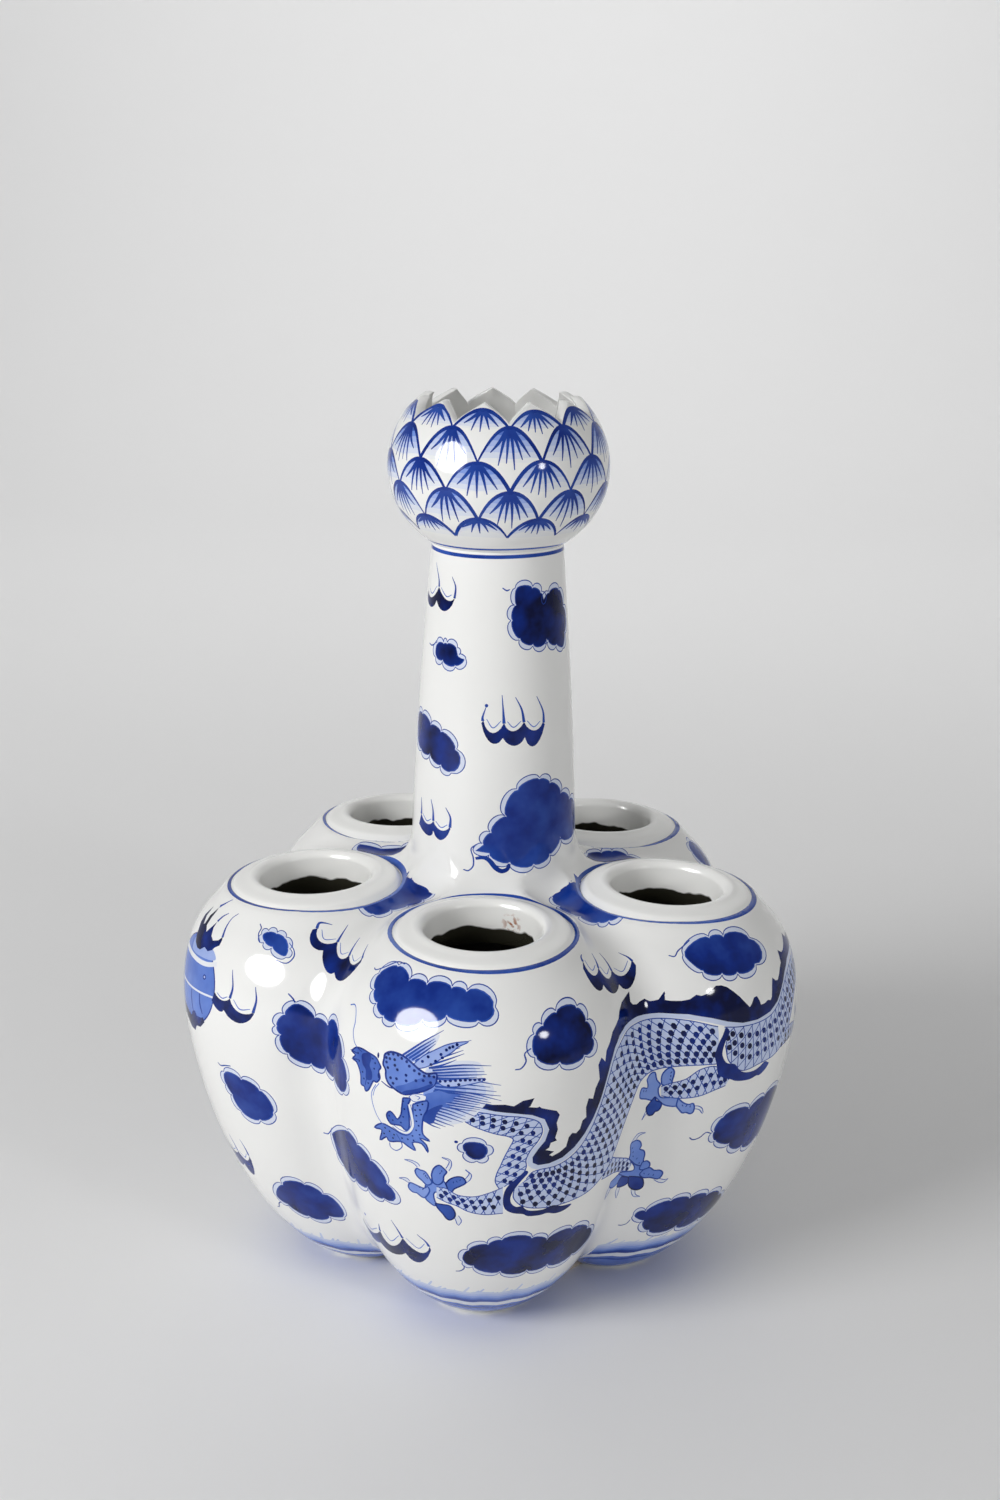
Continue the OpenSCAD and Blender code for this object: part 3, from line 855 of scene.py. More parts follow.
def paint_dragon(art):
    """Dragon in profile: scaled body in three runs, serrated back fin, clawed feet and maned head."""
    paint_feet(art)
    inner = [
        (109, 94.6), (104, 92.2), (98, 91.8), (93, 94), (88, 97.3), (84, 100.3), (80, 101), (76, 101),
        (72, 100.2), (69, 98), (66.5, 94.8), (64.5, 92.2), (62, 90.5), (58.5, 89.8), (55, 90.2), (52, 91.5),
        (49, 93.2), (45, 94.8), (40, 95.4), (35, 95.4), (31, 94.9), (28.5, 93.8), (26.7, 91.5), (25.3, 88),
        (24, 83.5), (22.8, 79), (21.4, 74.8), (19.7, 71), (17.8, 68), (15.5, 65.8), (13, 64.9), (11, 65),
        (10, 66), (9.9, 67.8), (10.8, 70), (12, 72.3), (12.6, 75.5), (11.7, 78.8), (9.5, 80.6), (6.5, 81.6),
        (3.5, 82.4), (1, 83.4), (-1.2, 84.6),
    ]
    # A pale stripe parts the fin from the scales
    art.brush(inner, 0.11, 2.6, ends=1, per=2)
    art.scales(
        [(-1, 82.5), (2, 81.9), (5, 81), (8, 80.2), (10.6, 78.4), (11.4, 75.5), (10.8, 72.8), (9.5, 70),
         (8.8, 67.3), (8.9, 65), (8.3, 62.6), (7, 60.4)],
        [(-1.9, 80), (-0.3, 78.4), (2, 76.8), (4, 75.7), (5.6, 75), (6.5, 73.9), (6, 71.8), (5.2, 69),
         (4.5, 66), (3.9, 63.5), (3.7, 61), (4.4, 58.6)],
        pitch=2.6, dot=0.68,
    )
    art.scales(
        [(51.2, 90.2), (54.5, 89.3), (58.5, 88.9), (62, 89.4), (64.6, 91.3), (66.6, 94), (69, 96.6),
         (72.5, 98.6), (76.5, 99.3), (81, 99), (86, 97), (92, 93), (98, 90), (104, 90.5), (109, 93.5)],
        [(51.3, 85), (52.3, 80), (55.5, 76), (60, 76.2), (64.5, 76.5), (68.5, 79.5), (70, 84), (72, 88.5),
         (75, 91.5), (79.5, 92.5), (84, 91), (89, 87.5), (95, 86), (102, 88), (109, 93)],
    )
    for side_a, side_b in (
        ([(5, 59), (2.5, 57.2), (0, 56), (-2.8, 56.3), (-4.6, 58), (-6.4, 58.2)],
         [(5.2, 50.3), (2, 50), (-0.8, 50.8), (-3, 52.6), (-4.6, 53.3), (-6.5, 54.6)]),
        ([(27, 59.8), (29.5, 57), (32.5, 54.8), (35, 53.2), (36.5, 51)],
         [(26, 52.3), (28.5, 51.8), (31, 51), (33.5, 49.8), (35.8, 48.6)]),
        ([(52.8, 74.2), (50, 79), (47, 79), (44.5, 76.5), (42, 75.5), (40.3, 74.6)],
         [(52.3, 72.6), (50, 71.8), (47.5, 70.8), (45, 70.6), (42.5, 71), (40.5, 71.8)]),
        ([(67.5, 81.5), (70, 82), (73, 81.2), (76, 79.8)], [(66, 77.5), (69, 77.6), (72.5, 77.4), (76, 77)]),
    ):
        art.scales(side_a, side_b, pitch=2.3, dot=0.72)
    art.scales(
        [(9, 61), (10, 63), (11.5, 63.5), (13, 63.5), (14.5, 63.7), (16.5, 64.7), (18.5, 66.7), (20, 69.2),
         (21.4, 72.5), (22.6, 76.3), (23.8, 80.5), (25, 85), (27, 90), (30.5, 93), (35, 93.8), (40, 94),
         (45, 93.1), (50, 90.6)],
        [(7, 58.5), (7, 55), (9, 51.8), (13, 50.2), (18, 50), (23, 51), (27.2, 55), (29.3, 60), (31, 65),
         (32.6, 69.5), (34.2, 74), (35.5, 77.2), (37.5, 79.2), (39.5, 80), (41.8, 80.4), (44.3, 80.5),
         (47, 80.3), (50.2, 79.9)],
    )
    # The back fin: outer teeth from head to tail, then the smooth inner edge back again
    fin = [
        (-3.6, 86.4), (-2, 86), (-0.5, 85.4), (1, 84.8), (3, 84), (5, 83.9), (6.5, 83.3), (8, 84.6),
        (9.7, 85), (9, 83.3), (8.8, 82.7), (10.3, 82.2), (10.7, 82.4), (11, 81.9), (13.7, 80.3), (14.2, 79.2),
        (13.7, 77), (14, 75), (13.6, 72.6), (14, 71.8), (12.9, 71.5), (12.6, 70), (12, 69.2), (13.6, 68.2),
        (12.7, 67.6), (13.5, 66.7), (15, 67.5), (16.2, 68.8), (16.6, 71.5), (17.1, 72.4), (17.9, 71.9),
        (18.8, 73), (19.2, 75.3), (20, 76), (19.8, 79), (20.2, 81.2), (21.2, 80.6), (21.8, 83.5),
        (22.7, 85.5), (22.4, 89.5), (23, 90.8), (24, 89.3), (24.5, 92), (25.5, 93.5), (26.5, 95.6),
        (28.9, 97.6), (29.6, 99), (31.1, 100.2), (32.6, 100.6), (34.3, 101.4), (33.7, 99.4), (34.4, 98.3),
        (35.6, 98), (36.6, 98.5), (37.7, 98.9), (38.6, 98.2), (39.5, 98.2), (40.6, 98.5), (41.9, 100.4),
        (41.4, 98.5), (42.4, 98.1), (44.3, 98), (45.8, 98.3), (47.1, 99.3), (47.9, 98.9), (48.8, 99.2),
        (50, 100), (51.1, 100.9), (52, 100.8), (52.9, 100.2), (53.9, 98.8), (54.9, 97.2), (55.8, 95.4),
        (56.8, 93.6), (57.6, 94.4), (58.3, 95.8), (58.8, 95.9), (59.2, 94.6), (59.5, 93.2), (60.6, 93.1),
        (61.6, 93.6), (62.4, 93.2), (63, 94), (63.6, 96.6), (64.2, 98.6), (64.9, 97.4), (65.8, 97.2),
        (66.8, 98.4), (67.8, 99.8), (68.7, 100.6), (69.4, 103.6), (70.4, 102.4), (71.6, 102.5), (73.5, 103.4),
        (75.8, 105), (76.5, 103.4), (79, 103.5), (81, 102.5), (84, 102.5), (87, 101), (90, 99), (93, 96.5),
        (97, 95), (100, 94.5), (106, 95),
    ]
    art.brush(fin, 1.0, 0.6, ends=1, per=1)
    art.shape([*fin, *inner], 1.0)
    art.blob(
        [(8.8, 63.8), (7.6, 62), (6.2, 60), (5.3, 57.5), (5.1, 54), (5.6, 51.5), (7, 50), (8.8, 49.3),
         (9.8, 48.3), (12, 47.9), (13.5, 48.1), (15, 47.3), (16.5, 47.2), (18, 47.9), (18.6, 48.9),
         (16.5, 49.3), (14.5, 50.4), (12.5, 49.7), (10, 50.2), (9, 51.3), (8.6, 52.2), (7.5, 52.1),
         (6.6, 53.5), (6.4, 55.5), (7, 58), (8.2, 60.8), (9.3, 63)],
        0.95, per=3,
    )
    art.blob(
        [(51.5, 90), (52.2, 88.5), (51.3, 86), (50.8, 83), (51.2, 81), (52, 79.5), (53.5, 78.8), (54.3, 77.5),
         (55, 76.2), (56.5, 75), (58.5, 74.6), (60, 75.1), (61.3, 76), (62.3, 75.2), (62.8, 74.6), (62, 73.2),
         (60.5, 72.2), (59.5, 72.5), (58, 72.2), (56, 72.6), (54.3, 73.3), (53.2, 74.2), (51.5, 75.3),
         (50.3, 77), (49.9, 79.5), (49.4, 82.5), (49.9, 85.5), (50.8, 88)],
        0.9, per=3,
    )
    paint_head(art)


def bent_grid(place):
    """Turns points given on a grid, y down, into chart positions; the grid bends with the lobe."""

    def at(points):
        p = np.asarray(points, float)
        x, y = p[:, 0], p[:, 1]
        return np.stack([x**0, x, y, x * x, x * y, y * y], -1)[:, : len(place)] @ np.array(place)

    return at


def paint_feet(art):
    """The feet: shaded toes with a dark edge and white hooked claws."""
    spread = (
        [([(6.2, 6.6), (7.4, 6.1), (8.6, 6.4), (9.6, 5.9), (10.3, 7.2), (10.8, 8.2), (8, 8), (8, 9.6),
           (8.4, 10.4), (8, 10.7), (7.2, 10.2), (6.2, 9.2), (6.1, 7.8)], 0.42),
         ([(4.1, 3.9), (4.5, 3.4), (5.2, 3.7), (6.1, 4), (6.9, 5.1), (7.4, 6.2), (6.5, 6.6), (5.6, 5.8),
           (4.5, 4.8)], 0.4),
         ([(7.3, 4.6), (7.6, 3.6), (8.2, 3), (8.8, 2.9), (9.3, 3.3), (9.8, 3.8), (10.1, 4.3), (9.6, 5),
           (9.5, 6), (8.6, 6.6), (7.6, 6)], 0.48),
         ([(10, 6.4), (10.8, 5.6), (12, 5.3), (12.9, 5.5), (13.4, 6), (13.6, 6.7), (12.6, 7.2), (11.6, 7.6),
           (11.1, 8.2), (10.5, 7.7)], 0.62),
         ([(2.7, 6.8), (3.1, 6.2), (3.9, 6.4), (4.8, 6.8), (5.9, 7.2), (6.6, 6.9), (7, 7.8), (6.2, 9),
           (5.4, 8.9), (4.5, 8.2), (3.6, 8), (2.9, 7.4)], 0.36),
         ([(8.1, 10.2), (9.5, 10.5), (10.8, 10.8), (11.6, 11.6), (12, 12.6), (11.8, 13.4), (11, 13.8),
           (10.3, 13.4), (9.6, 12.4), (8.6, 11.2)], 0.76)],
        [([(4.6, 3.2), (4, 2.6), (3.2, 2.2), (2, 1.85)], [(5.1, 3), (4.6, 2.4), (3.4, 1.9), (2, 1.8)]),
         ([(9.9, 3.6), (10.3, 2.9), (10.4, 2.2), (9.1, 1.5)],
          [(10.5, 4.1), (10.9, 3.1), (10.6, 2), (9.1, 1.4)]),
         ([(13.4, 6), (13.9, 5.4), (14.1, 4.9), (13.4, 4.2)],
          [(13.7, 6.7), (14.4, 6.1), (14.5, 5.2), (13.4, 4.1)]),
         ([(2.9, 6.3), (2.2, 5.9), (1.5, 5.6), (0.8, 5.5)], [(3.1, 5.9), (2.5, 5.4), (1.7, 5.3), (0.8, 5.4)]),
         ([(11.8, 13.2), (12.2, 14.1), (12.4, 14.7), (12.7, 15)],
          [(12.6, 13), (13.1, 13.8), (13.2, 14.4), (12.7, 15.1)])],
        [(5.9, 4.4), (6.2, 4.8), (6.5, 5.2), (8.9, 4.4), (9.2, 4), (5, 7), (5.7, 7.4), (11.4, 6.3), (12, 6.2),
         (12.6, 6)],
    )
    gripping = (
        [([(6.6, 6.9), (8, 7.2), (9.3, 7.6), (9.4, 8.8), (9, 10.2), (7, 10.4), (5.6, 10.2), (4.6, 9.6),
           (6, 9.3), (7.4, 9), (7.7, 8.2), (7.2, 7.4)], 0.46),
         ([(6.7, 6.8), (7, 5.6), (7, 4.4), (7.2, 3.6), (8.2, 3), (8.9, 3.2), (9.1, 4), (8.8, 4.7), (9.5, 4.9),
           (9.7, 5.6), (9.4, 6.8), (9.2, 7.8), (8, 7.8)], 0.42),
         ([(9.2, 7.2), (10, 6.9), (10.5, 7.3), (10.4, 8), (9.6, 8.6), (8.6, 8.6)], 0.44),
         ([(9.4, 8.6), (10.5, 8.2), (11.2, 8.7), (12.2, 8.7), (12.8, 9.2), (12.5, 9.9), (11.7, 10.4),
           (10.4, 10.1), (9.2, 10.2), (8.6, 9.6)], 0.5),
         ([(4.6, 9.8), (5.4, 10.2), (4.9, 11), (4, 12), (3.2, 12.5), (2.7, 12.2), (2.9, 11.3),
           (3.6, 10.7)], 0.42),
         ([(5.2, 10.3), (6.6, 10.4), (6.4, 11.5), (5.4, 12.2), (4.6, 12.4), (4.3, 12.2), (4.6, 11.2)], 0.8),
         ([(6.6, 10.2), (8.8, 10.2), (9.2, 11), (9, 12), (8.2, 12.6), (7.2, 12.6), (6.6, 12),
           (6.5, 11.2)], 0.84)],
        [([(7.2, 3.5), (7.8, 2.5), (8.6, 1.6), (9.9, 1.3)], [(8.1, 3.1), (8.4, 2.4), (9, 1.8), (9.9, 1.4)]),
         ([(11, 10.5), (11.8, 11), (12.8, 11.2), (13.9, 10.7)],
          [(12, 10.3), (12.8, 10.6), (13.4, 10.7), (13.9, 10.6)]),
         ([(2.7, 12), (2.1, 13.2), (1.7, 14.6)], [(3.1, 12.4), (2.5, 13.4), (1.7, 14.7)]),
         ([(4.4, 12.3), (4, 13.4), (4.1, 14.6)], [(4.9, 12.4), (4.6, 13.5), (4.2, 14.7)]),
         ([(7, 12.7), (7.1, 13.5), (7.5, 14), (8.5, 13.9)],
          [(7.7, 12.7), (7.7, 13.4), (8, 13.7), (8.5, 13.8)])],
        [(7.4, 4.6), (7.5, 5.4), (7.5, 6.2), (8.2, 6.6), (8.6, 7.4), (9.4, 9.4), (10.2, 9.5), (11, 9.6)],
    )
    raised = (
        [([(3.4, 4.9), (4.2, 3.8), (5.2, 3.5), (5.5, 4.9), (6.2, 5.8), (5.8, 6.6), (5.9, 7.8), (6.6, 8.4),
           (9.4, 8.2), (9.3, 9.8), (7.9, 10), (6.6, 9.6), (5.2, 8.3), (4.5, 8.9), (3.2, 8.6), (1.6, 8.2),
           (2.1, 6.4), (3.4, 6.5), (3.6, 5.8)], 0.4),
         ([(6.4, 4.9), (6.6, 3.9), (7.4, 2.9), (8.2, 2.5), (8.7, 3.1), (8.6, 4), (8.3, 5), (8.2, 5.8),
           (6.6, 5.9)], 0.4),
         ([(5.2, 8.2), (5.4, 9), (6.3, 9.3), (6.4, 10), (5.9, 10.9), (5.2, 11.2), (4.7, 11.8), (3.9, 11.9),
           (3.4, 11.2), (3.3, 10.3), (3.9, 9.6), (4.4, 9)], 0.78),
         ([(9.4, 8.3), (9.9, 8.9), (10.6, 9.4), (11.4, 9.6), (12.1, 9.4), (12.4, 10.2), (12.2, 11.2),
           (11.6, 11.5), (10.9, 11.2), (10.2, 11.3), (9.5, 10.5), (9.1, 9.8)], 0.4)],
        [([(3.3, 10.8), (2.8, 11.8), (2.3, 12.7)], [(3.6, 11.4), (2.9, 12), (2.3, 12.8)]),
         ([(12.3, 9.9), (13.2, 10), (13.9, 10.5), (14.2, 11.4)],
          [(12.4, 10.5), (13.3, 10.7), (13.8, 11.3), (14.1, 11.6)])],
        [(8.2, 3.4), (8.1, 4.1), (8, 4.8), (3.2, 7), (2.6, 7), (10.2, 9.8), (10.9, 9.9), (11.6, 10)],
    )
    for (toes, claws, ticks), place in (
        (spread, [(-13.9, 67.3), (0.96, 0.34), (-0.07, -1.72)]),
        (spread, [(86.5, 89.5), (-0.96, 0.34), (0.07, -1.72)]),
        (gripping, [(20, 74.2), (2.4, -1.87), (0.17, -1.75), (-0.058, 0.073), (0, 0.014), (0.013, -0.015)]),
        (raised, [(33.2, 85.4), (1.01, -0.16), (0.11, -1.57)]),
    ):
        at = bent_grid(place)
        for inner, outer in claws:
            art.shape(at([*inner, *outer[::-1]]), 0.05)
            for side in (inner, outer):
                art.brush(at(side), 0.66, 0.26, ends=0.6, per=3)
        for points, tone in toes:
            art.blob(at(points), tone, per=3)
            art.brush(at([*points, points[0]]), min(1, tone + 0.35), 0.42, ends=1.0, per=3)
        for k, tick in enumerate(at(ticks)):
            art.dot(tick, (0.16, 0.4), 0.85, 6, 0.5 * (k % 3 - 1))


def paint_head(art):
    """The head: maned and horned, with a dotted cheek, white ear, open jaw, beard and whiskers."""
    at = bent_grid([(-26.1, 96.5), (2.69, 1.5), (0.39, -2.48), (-0.044, -0.07), (0, 0.02), (-0.026, -0.054)])

    def part(points, tone, edge=0.88, width=0.44):
        art.blob(at(points), tone, per=3)
        art.brush(at([*points, points[0]]), edge, width, ends=1.0, per=3)

    def dots(spots, size=0.42):
        for spot in at(spots):
            art.dot(spot, (size, size), 0.96, 6)

    def fan(root_a, root_b, tip_a, tip_b, count, tone=0.74):
        for k, t in enumerate(np.linspace(0, 1, count)):
            root = np.array(root_a) * (1 - t) + np.array(root_b) * t
            tip = np.array(tip_a) * (1 - t) + np.array(tip_b) * t
            tip = root + (tip - root) * (0.92 + 0.12 * math.cos(2.4 * k))
            line = at([root, (root + tip) / 2 + [0, 0.2 * (t - 0.5)], tip])
            art.brush(np.column_stack([line, [0.55, 0.4, 0.12]]), tone, per=3)

    def wash(points, root):
        for reach, tone in ((0.96, 0.06), (0.84, 0.12), (0.7, 0.19), (0.56, 0.28), (0.42, 0.4)):
            art.blob(at((np.array(points) - root) * reach + root), tone)

    def fill(points, tone):
        art.blob(at(points), tone)

    def stroke(points, tone, width, ends=0.45):
        art.brush(at(points), tone, width, ends)

    # Pale washes behind the mane that thin out to its tips, then its hairs
    wash([(5.4, 3.1), (7, 2), (8.6, 1.2), (8.2, 2.2), (7.4, 3.2), (6.4, 3.8)], (5.6, 3.6))
    wash([(7.2, 4.2), (9.5, 3.6), (12, 3.6), (12.6, 4.6), (12.3, 5), (13.4, 5.8), (13.4, 6.8), (12.8, 7.4),
          (11.6, 8.6), (10.4, 9.3), (8.6, 9.5), (7, 9), (7, 7)], (6.8, 6.4))
    fan((5.3, 3.1), (6.3, 3.7), (8.8, 1), (7.9, 2.5), 5)
    fan((6.4, 3.6), (7.4, 4.3), (11.2, 1.8), (10.4, 3.4), 5)
    fan((7.6, 4.3), (8, 5.2), (12.9, 4), (12.5, 5.1), 5)
    fan((8, 5.4), (7.8, 6.2), (13.8, 5.7), (14, 6.7), 4)
    fan((7.8, 6.2), (7.2, 7.4), (13.8, 7.1), (12.2, 8.3), 8)
    fan((7.3, 7.4), (6.9, 8.9), (11.6, 8.7), (8.6, 9.8), 8)
    art.shape(at([(7, 6.6), (8.2, 6.3), (9, 6.6), (10.2, 6.7), (9.4, 7), (9.5, 7.3), (8.7, 7.4), (9.2, 7.8),
                  (8.2, 7.8), (7.2, 8.3)]), 0.56)
    fill([(6.9, 9), (7, 8.3), (7.7, 7.8), (8.5, 7.6), (8, 8.4), (7.7, 9.2)], 0.74)
    part([(6.2, 3.9), (7, 3.2), (8, 2.7), (9, 2.25), (10, 2), (11.1, 1.9), (10.1, 2.4), (9.5, 2.9),
          (8.8, 3.3), (8, 3.8), (7.2, 4.2), (6.5, 4.3)], 0.3, 0.72, 0.26)
    dots([(6.9, 3.7), (7.4, 3.3), (8.5, 3.1), (9, 2.7), (9.3, 2.5), (9.6, 2.4), (10, 2.2), (7.6, 4), (8, 3.7),
          (8.6, 3.4)])
    part([(7.9, 5.3), (9, 5.4), (10, 5.3), (11, 5.3), (12.4, 5.2), (12, 5.5), (10.8, 5.8), (9.5, 6),
          (8.5, 5.9)],
         0.22, 0.7, 0.26)
    dots([(8.3 + 0.44 * k, 5.5 - 0.02 * k) for k in range(10)])
    dots([(9, 5.9), (9.9, 5.8)])
    part([(3.7, 3.4), (3.8, 3), (4.3, 2.8), (5, 3), (5.6, 3.4), (6.2, 4), (6.6, 4.4), (7.2, 4.8), (8, 4.8),
          (8, 5.4), (7.7, 5.9), (7, 6.3), (6.2, 6.5), (5.4, 6.6), (4.9, 6.4), (4.4, 6), (4, 5.6), (3.8, 5),
          (3.8, 4.4), (3.6, 3.9)],
         0.47, 0.9, 0.55)
    fill([(4.6, 5.9), (5.4, 5.7), (6.4, 5.3), (7.4, 5), (7.9, 5.1), (7.8, 5.8), (7, 6.2), (5.6, 6.5),
          (4.9, 6.3)], 0.6)
    fill([(5.2, 6.6), (6.4, 6.4), (7.5, 6), (7.6, 5.7), (6.4, 6.1), (5.3, 6.3)], 0.8)
    dots([(3.9, 3.3), (4.1, 3), (4.5, 3), (4.9, 3.1), (4.2, 3.4), (4.6, 3.5), (3.9, 3.7), (5.2, 3.4),
          (5.6, 3.7), (4.6, 4), (4, 4.2), (4.8, 4.4), (5.8, 4.1), (6.2, 4.5), (5.5, 4.9), (4.2, 5.1),
          (4.7, 5.2), (5.5, 5.4), (6.3, 5.4), (6.6, 4.8), (7, 5), (7.4, 5), (7.8, 5.1), (7.5, 5.6),
          (6.9, 5.4), (4.4, 5.6)])
    part([(5.7, 6.8), (6, 6.6), (6.6, 6.6), (7.1, 6.8), (7, 7.2), (6.5, 7.3), (6, 7.2)], 0.04, 0.6, 0.2)
    stroke([(6.2, 6.7), (6.6, 6.9), (6.4, 7.1)], 0.6, 0.22)
    part([(5.2, 6.9), (5.1, 7.6), (5, 8.4), (4.7, 8.8), (4.4, 8.4), (4.1, 8.1), (3.8, 8.3), (3.8, 8.7),
          (4.1, 9.2), (4.5, 9.3), (5, 9.4), (5.4, 9.8), (5.7, 9.6), (5.7, 8.6), (5.6, 7.6), (5.8, 7)], 0.62)
    part([(6, 7.5), (7.2, 7.2), (7.2, 8), (6.9, 8.6), (6.8, 9.5), (6.9, 10.2), (7.5, 10.8), (6.6, 10.5),
          (7.2, 11.1), (7.4, 11.8), (6.8, 11), (6, 10.9), (6.3, 11.6), (5.6, 11.2), (5, 10.8), (4, 10.8),
          (3.7, 10.4), (3.1, 10.7), (3.3, 9.8), (2.6, 9.6), (3.3, 9.2), (4.2, 9.6), (5, 10.1), (5.6, 10.2),
          (6, 9.6)], 0.5, 0.82)
    dots([(6.4, 7.6), (6.8, 7.5), (6.2, 8), (6.6, 8), (6.3, 8.5), (6.7, 8.4), (6.3, 9), (6.5, 9.4),
          (6.3, 9.8), (6.6, 10.2), (6, 10.3), (5.6, 10.6), (5.1, 10.5), (4.4, 10.2), (4, 9.9), (3.6, 9.6),
          (6.1, 10.7), (4.3, 10.5), (3.5, 10.1), (5.2, 7.2), (5.3, 7.9), (5.2, 8.6), (4, 8.5), (4.3, 8.9),
          (5, 9.1)], 0.28)
    lip = at([(5.7, 7.5), (5.9, 8.5), (6, 9.4), (5.6, 10), (5, 9.9), (4.3, 9.4)])
    art.brush(lip, 0.62, 1.05, ends=0.9)
    art.brush(lip, 0.03, 0.62, ends=0.9)
    stroke([(4.6, 10.1), (5, 10.8), (5.1, 11.3), (4.6, 11.6), (4.1, 11.3), (4, 10.9)], 0.66, 0.28, ends=0.9)
    part([(0.6, 2.7), (1.1, 2.4), (1.7, 2.5), (2.4, 2.9), (3, 3.3), (3.3, 3.9), (3.4, 4.2), (3.2, 4.5),
          (3.3, 5.1), (3, 5.5), (2.7, 5.4), (2.5, 5.7), (2.2, 6.2), (1.9, 6.3), (1.8, 5.9), (1.5, 5.7),
          (1.5, 5), (1.4, 4.4), (1.1, 3.7), (0.7, 3.4), (1, 3.1)], 0.6, 0.88, 0.44)
    fill([(1.7, 3), (2.3, 2.9), (2.6, 3.3), (2.4, 4), (2.6, 4.7), (2.5, 5.3), (2, 5.2), (2, 4.4),
          (1.7, 3.8)], 0.84)
    dots([(2.7, 3.4), (2.9, 3.8), (2.8, 4.3), (1.7, 4.6), (1.8, 5.2), (1.4, 3.6), (2.2, 5.6),
          (1.3, 2.9)], 0.3)
    for hair in ([(0.5, 2.6), (1.4, 3)], [(1.1, 2.3), (1.7, 2.8)], [(0.6, 3.4), (1.4, 3.5)],
                 [(1.9, 5.8), (2.1, 5)]):
        stroke(hair, 0.85, 0.3)
    art.dot(at([(3.2, 4.9)])[0], (0.42, 0.85), 0.97)
    art.dot(at([(3.2, 3.1)])[0], (0.32, 0.8), 0.95)
    stroke([(3.4, 5.4), (4, 5.9), (4.5, 6.1)], 0.85, 0.4)
    stroke([(2.9, 5.7), (2.5, 6.4), (2.5, 7.2), (2.7, 8), (3, 8.7), (3.4, 9.3)], 0.5, 0.26, ends=0.9)
    stroke([(3.2, 5.6), (2.8, 6.1), (2.6, 6.7)], 0.5, 0.22, ends=0.9)
    stroke([(1.2, 2.4), (0.9, 1.8), (0.8, 0.9), (1, 0), (1, -1), (0.8, -1.5), (0.3, -1.5)], 0.55, 0.32,
           ends=0.8)


def paint_pearl(art):
    """Flaming pearl: a washed ball with two white bands and dark flames round it."""
    art.dot((-67.4, 91.6), (13.4, 12.3), 0.85, 40)
    art.dot((-67.4, 91.6), (13, 11.9), 0.52, 40)
    art.brush([(-76, 97.6), (-67, 97.8), (-62.5, 98.4), (-59.4, 99.8)], 0.03, 1.3, ends=0.9)
    art.brush([(-76, 89.2), (-68.8, 89.5), (-63, 90.2), (-58.6, 90.9)], 0.05, 0.6, ends=0.9)
    art.blob([(-70, 103.2), (-66, 103.6), (-62, 102.6), (-60.2, 100.6), (-64, 99.4), (-70, 99)], 0.3)
    for ray in ([(-66.5, 89), (-66.2, 86), (-65.4, 82.6)], [(-62.9, 89.8), (-62.6, 87), (-61.7, 84.4)]):
        art.brush(ray, 0.8, 0.7, ends=0.5)
    art.dot((-62, 95), (0.8, 0.75), 0.85)
    art.dot((-62, 95), (0.4, 0.35), 0.2)
    art.shape(
        [(-70.5, 102.2), (-71.2, 103.7), (-72.3, 105.2), (-72.8, 107), (-71.9, 109.7), (-71.6, 107.3),
         (-70.2, 105.6), (-69.8, 106.1), (-70.2, 108), (-69.2, 110.7), (-69, 108), (-68.6, 106.1),
         (-67.2, 105), (-66.5, 106.6), (-66, 108.3), (-65.7, 106.8), (-64.7, 105.1), (-63.4, 104.4),
         (-62, 105.1), (-61.5, 106.1), (-61.9, 107.2), (-61, 105.5), (-60.9, 104.2), (-61.9, 103.2),
         (-62.2, 102.4), (-63.4, 101.5), (-65, 101.9), (-66.3, 100.5), (-67.7, 100.3), (-69.5, 101)],
        0.97,
    )
    art.wave(
        [(-58.2, 92.6), (-56.1, 91.3), (-54.3, 92.6), (-52, 89.6), (-49, 90.6)],
        [(-58.8, 90), (-56.8, 88), (-55.5, 88.8), (-51.8, 86.5), (-48.9, 90)],
        [[(-54.3, 92.6), (-54.1, 95.8), (-55.2, 100.1)], [(-49.1, 90.4), (-48.8, 93.9), (-49.5, 97.4)]],
    )
    art.shape(
        [(-74, 81.5), (-70, 82), (-66.8, 81), (-65.8, 83), (-64.7, 83.6), (-64, 82.5), (-62.3, 82.9),
         (-61.5, 83.5), (-61, 82.3), (-62.7, 79.9), (-64.4, 79.3), (-65.4, 77.2), (-67.4, 77.1), (-70, 78.5),
         (-73, 79.5)],
        0.97,
    )


def paint_border(art):
    """Sea border at the foot: soft hatched wash that deepens towards the foot, partly the painter's grading
    and partly painted shade, a dark line, a white line and a deeper wash below.
    """
    for i, shift in enumerate((4, 6, 4, 3, 0.5)):
        centre = LOBE_STEP * i

        def band(low, high, tone, arch=1.6):
            az = np.linspace(-35, 35, 36)
            rise = shift + arch * np.cos(np.radians(az * 2.6)) + 0.35 * np.sin(az * 0.9 + i)
            top = np.stack([centre + az, high + rise], -1)
            bottom = np.stack([centre + az[::-1], low + rise[::-1]], -1)
            art.shape(np.vstack([top, bottom]), tone)

        for k in range(64):
            at = centre - 34.5 + 1.08 * k
            foot = shift + 8 + 1.6 * math.cos(math.radians((at - centre) * 2.6))
            high = foot + 4.4 + 1.6 * math.sin(2.3 * k) + math.sin(0.7 * k + i)
            art.brush([(at, foot), (at + 0.9, foot + 2.4),
                       (at + 2.9, high)], 0.13 + 0.05 * math.sin(1.7 * k), 0.9)
        # The wash deepens in steps towards the foot, partly the painter's own grading and partly painted
        # shade near the table
        for high, tone in ((12.2, 0.12), (11.2, 0.21), (10.2, 0.32), (9.2, 0.46), (8.4, 0.6)):
            band(6, high, tone)
        band(6.4, 7.8, 0.78)
        band(4.6, 6.4, 0.04)
        band(-shift, 4.6, 0.55, 1.2)
        band(2.4, 3.4, 0.74, 1.2)


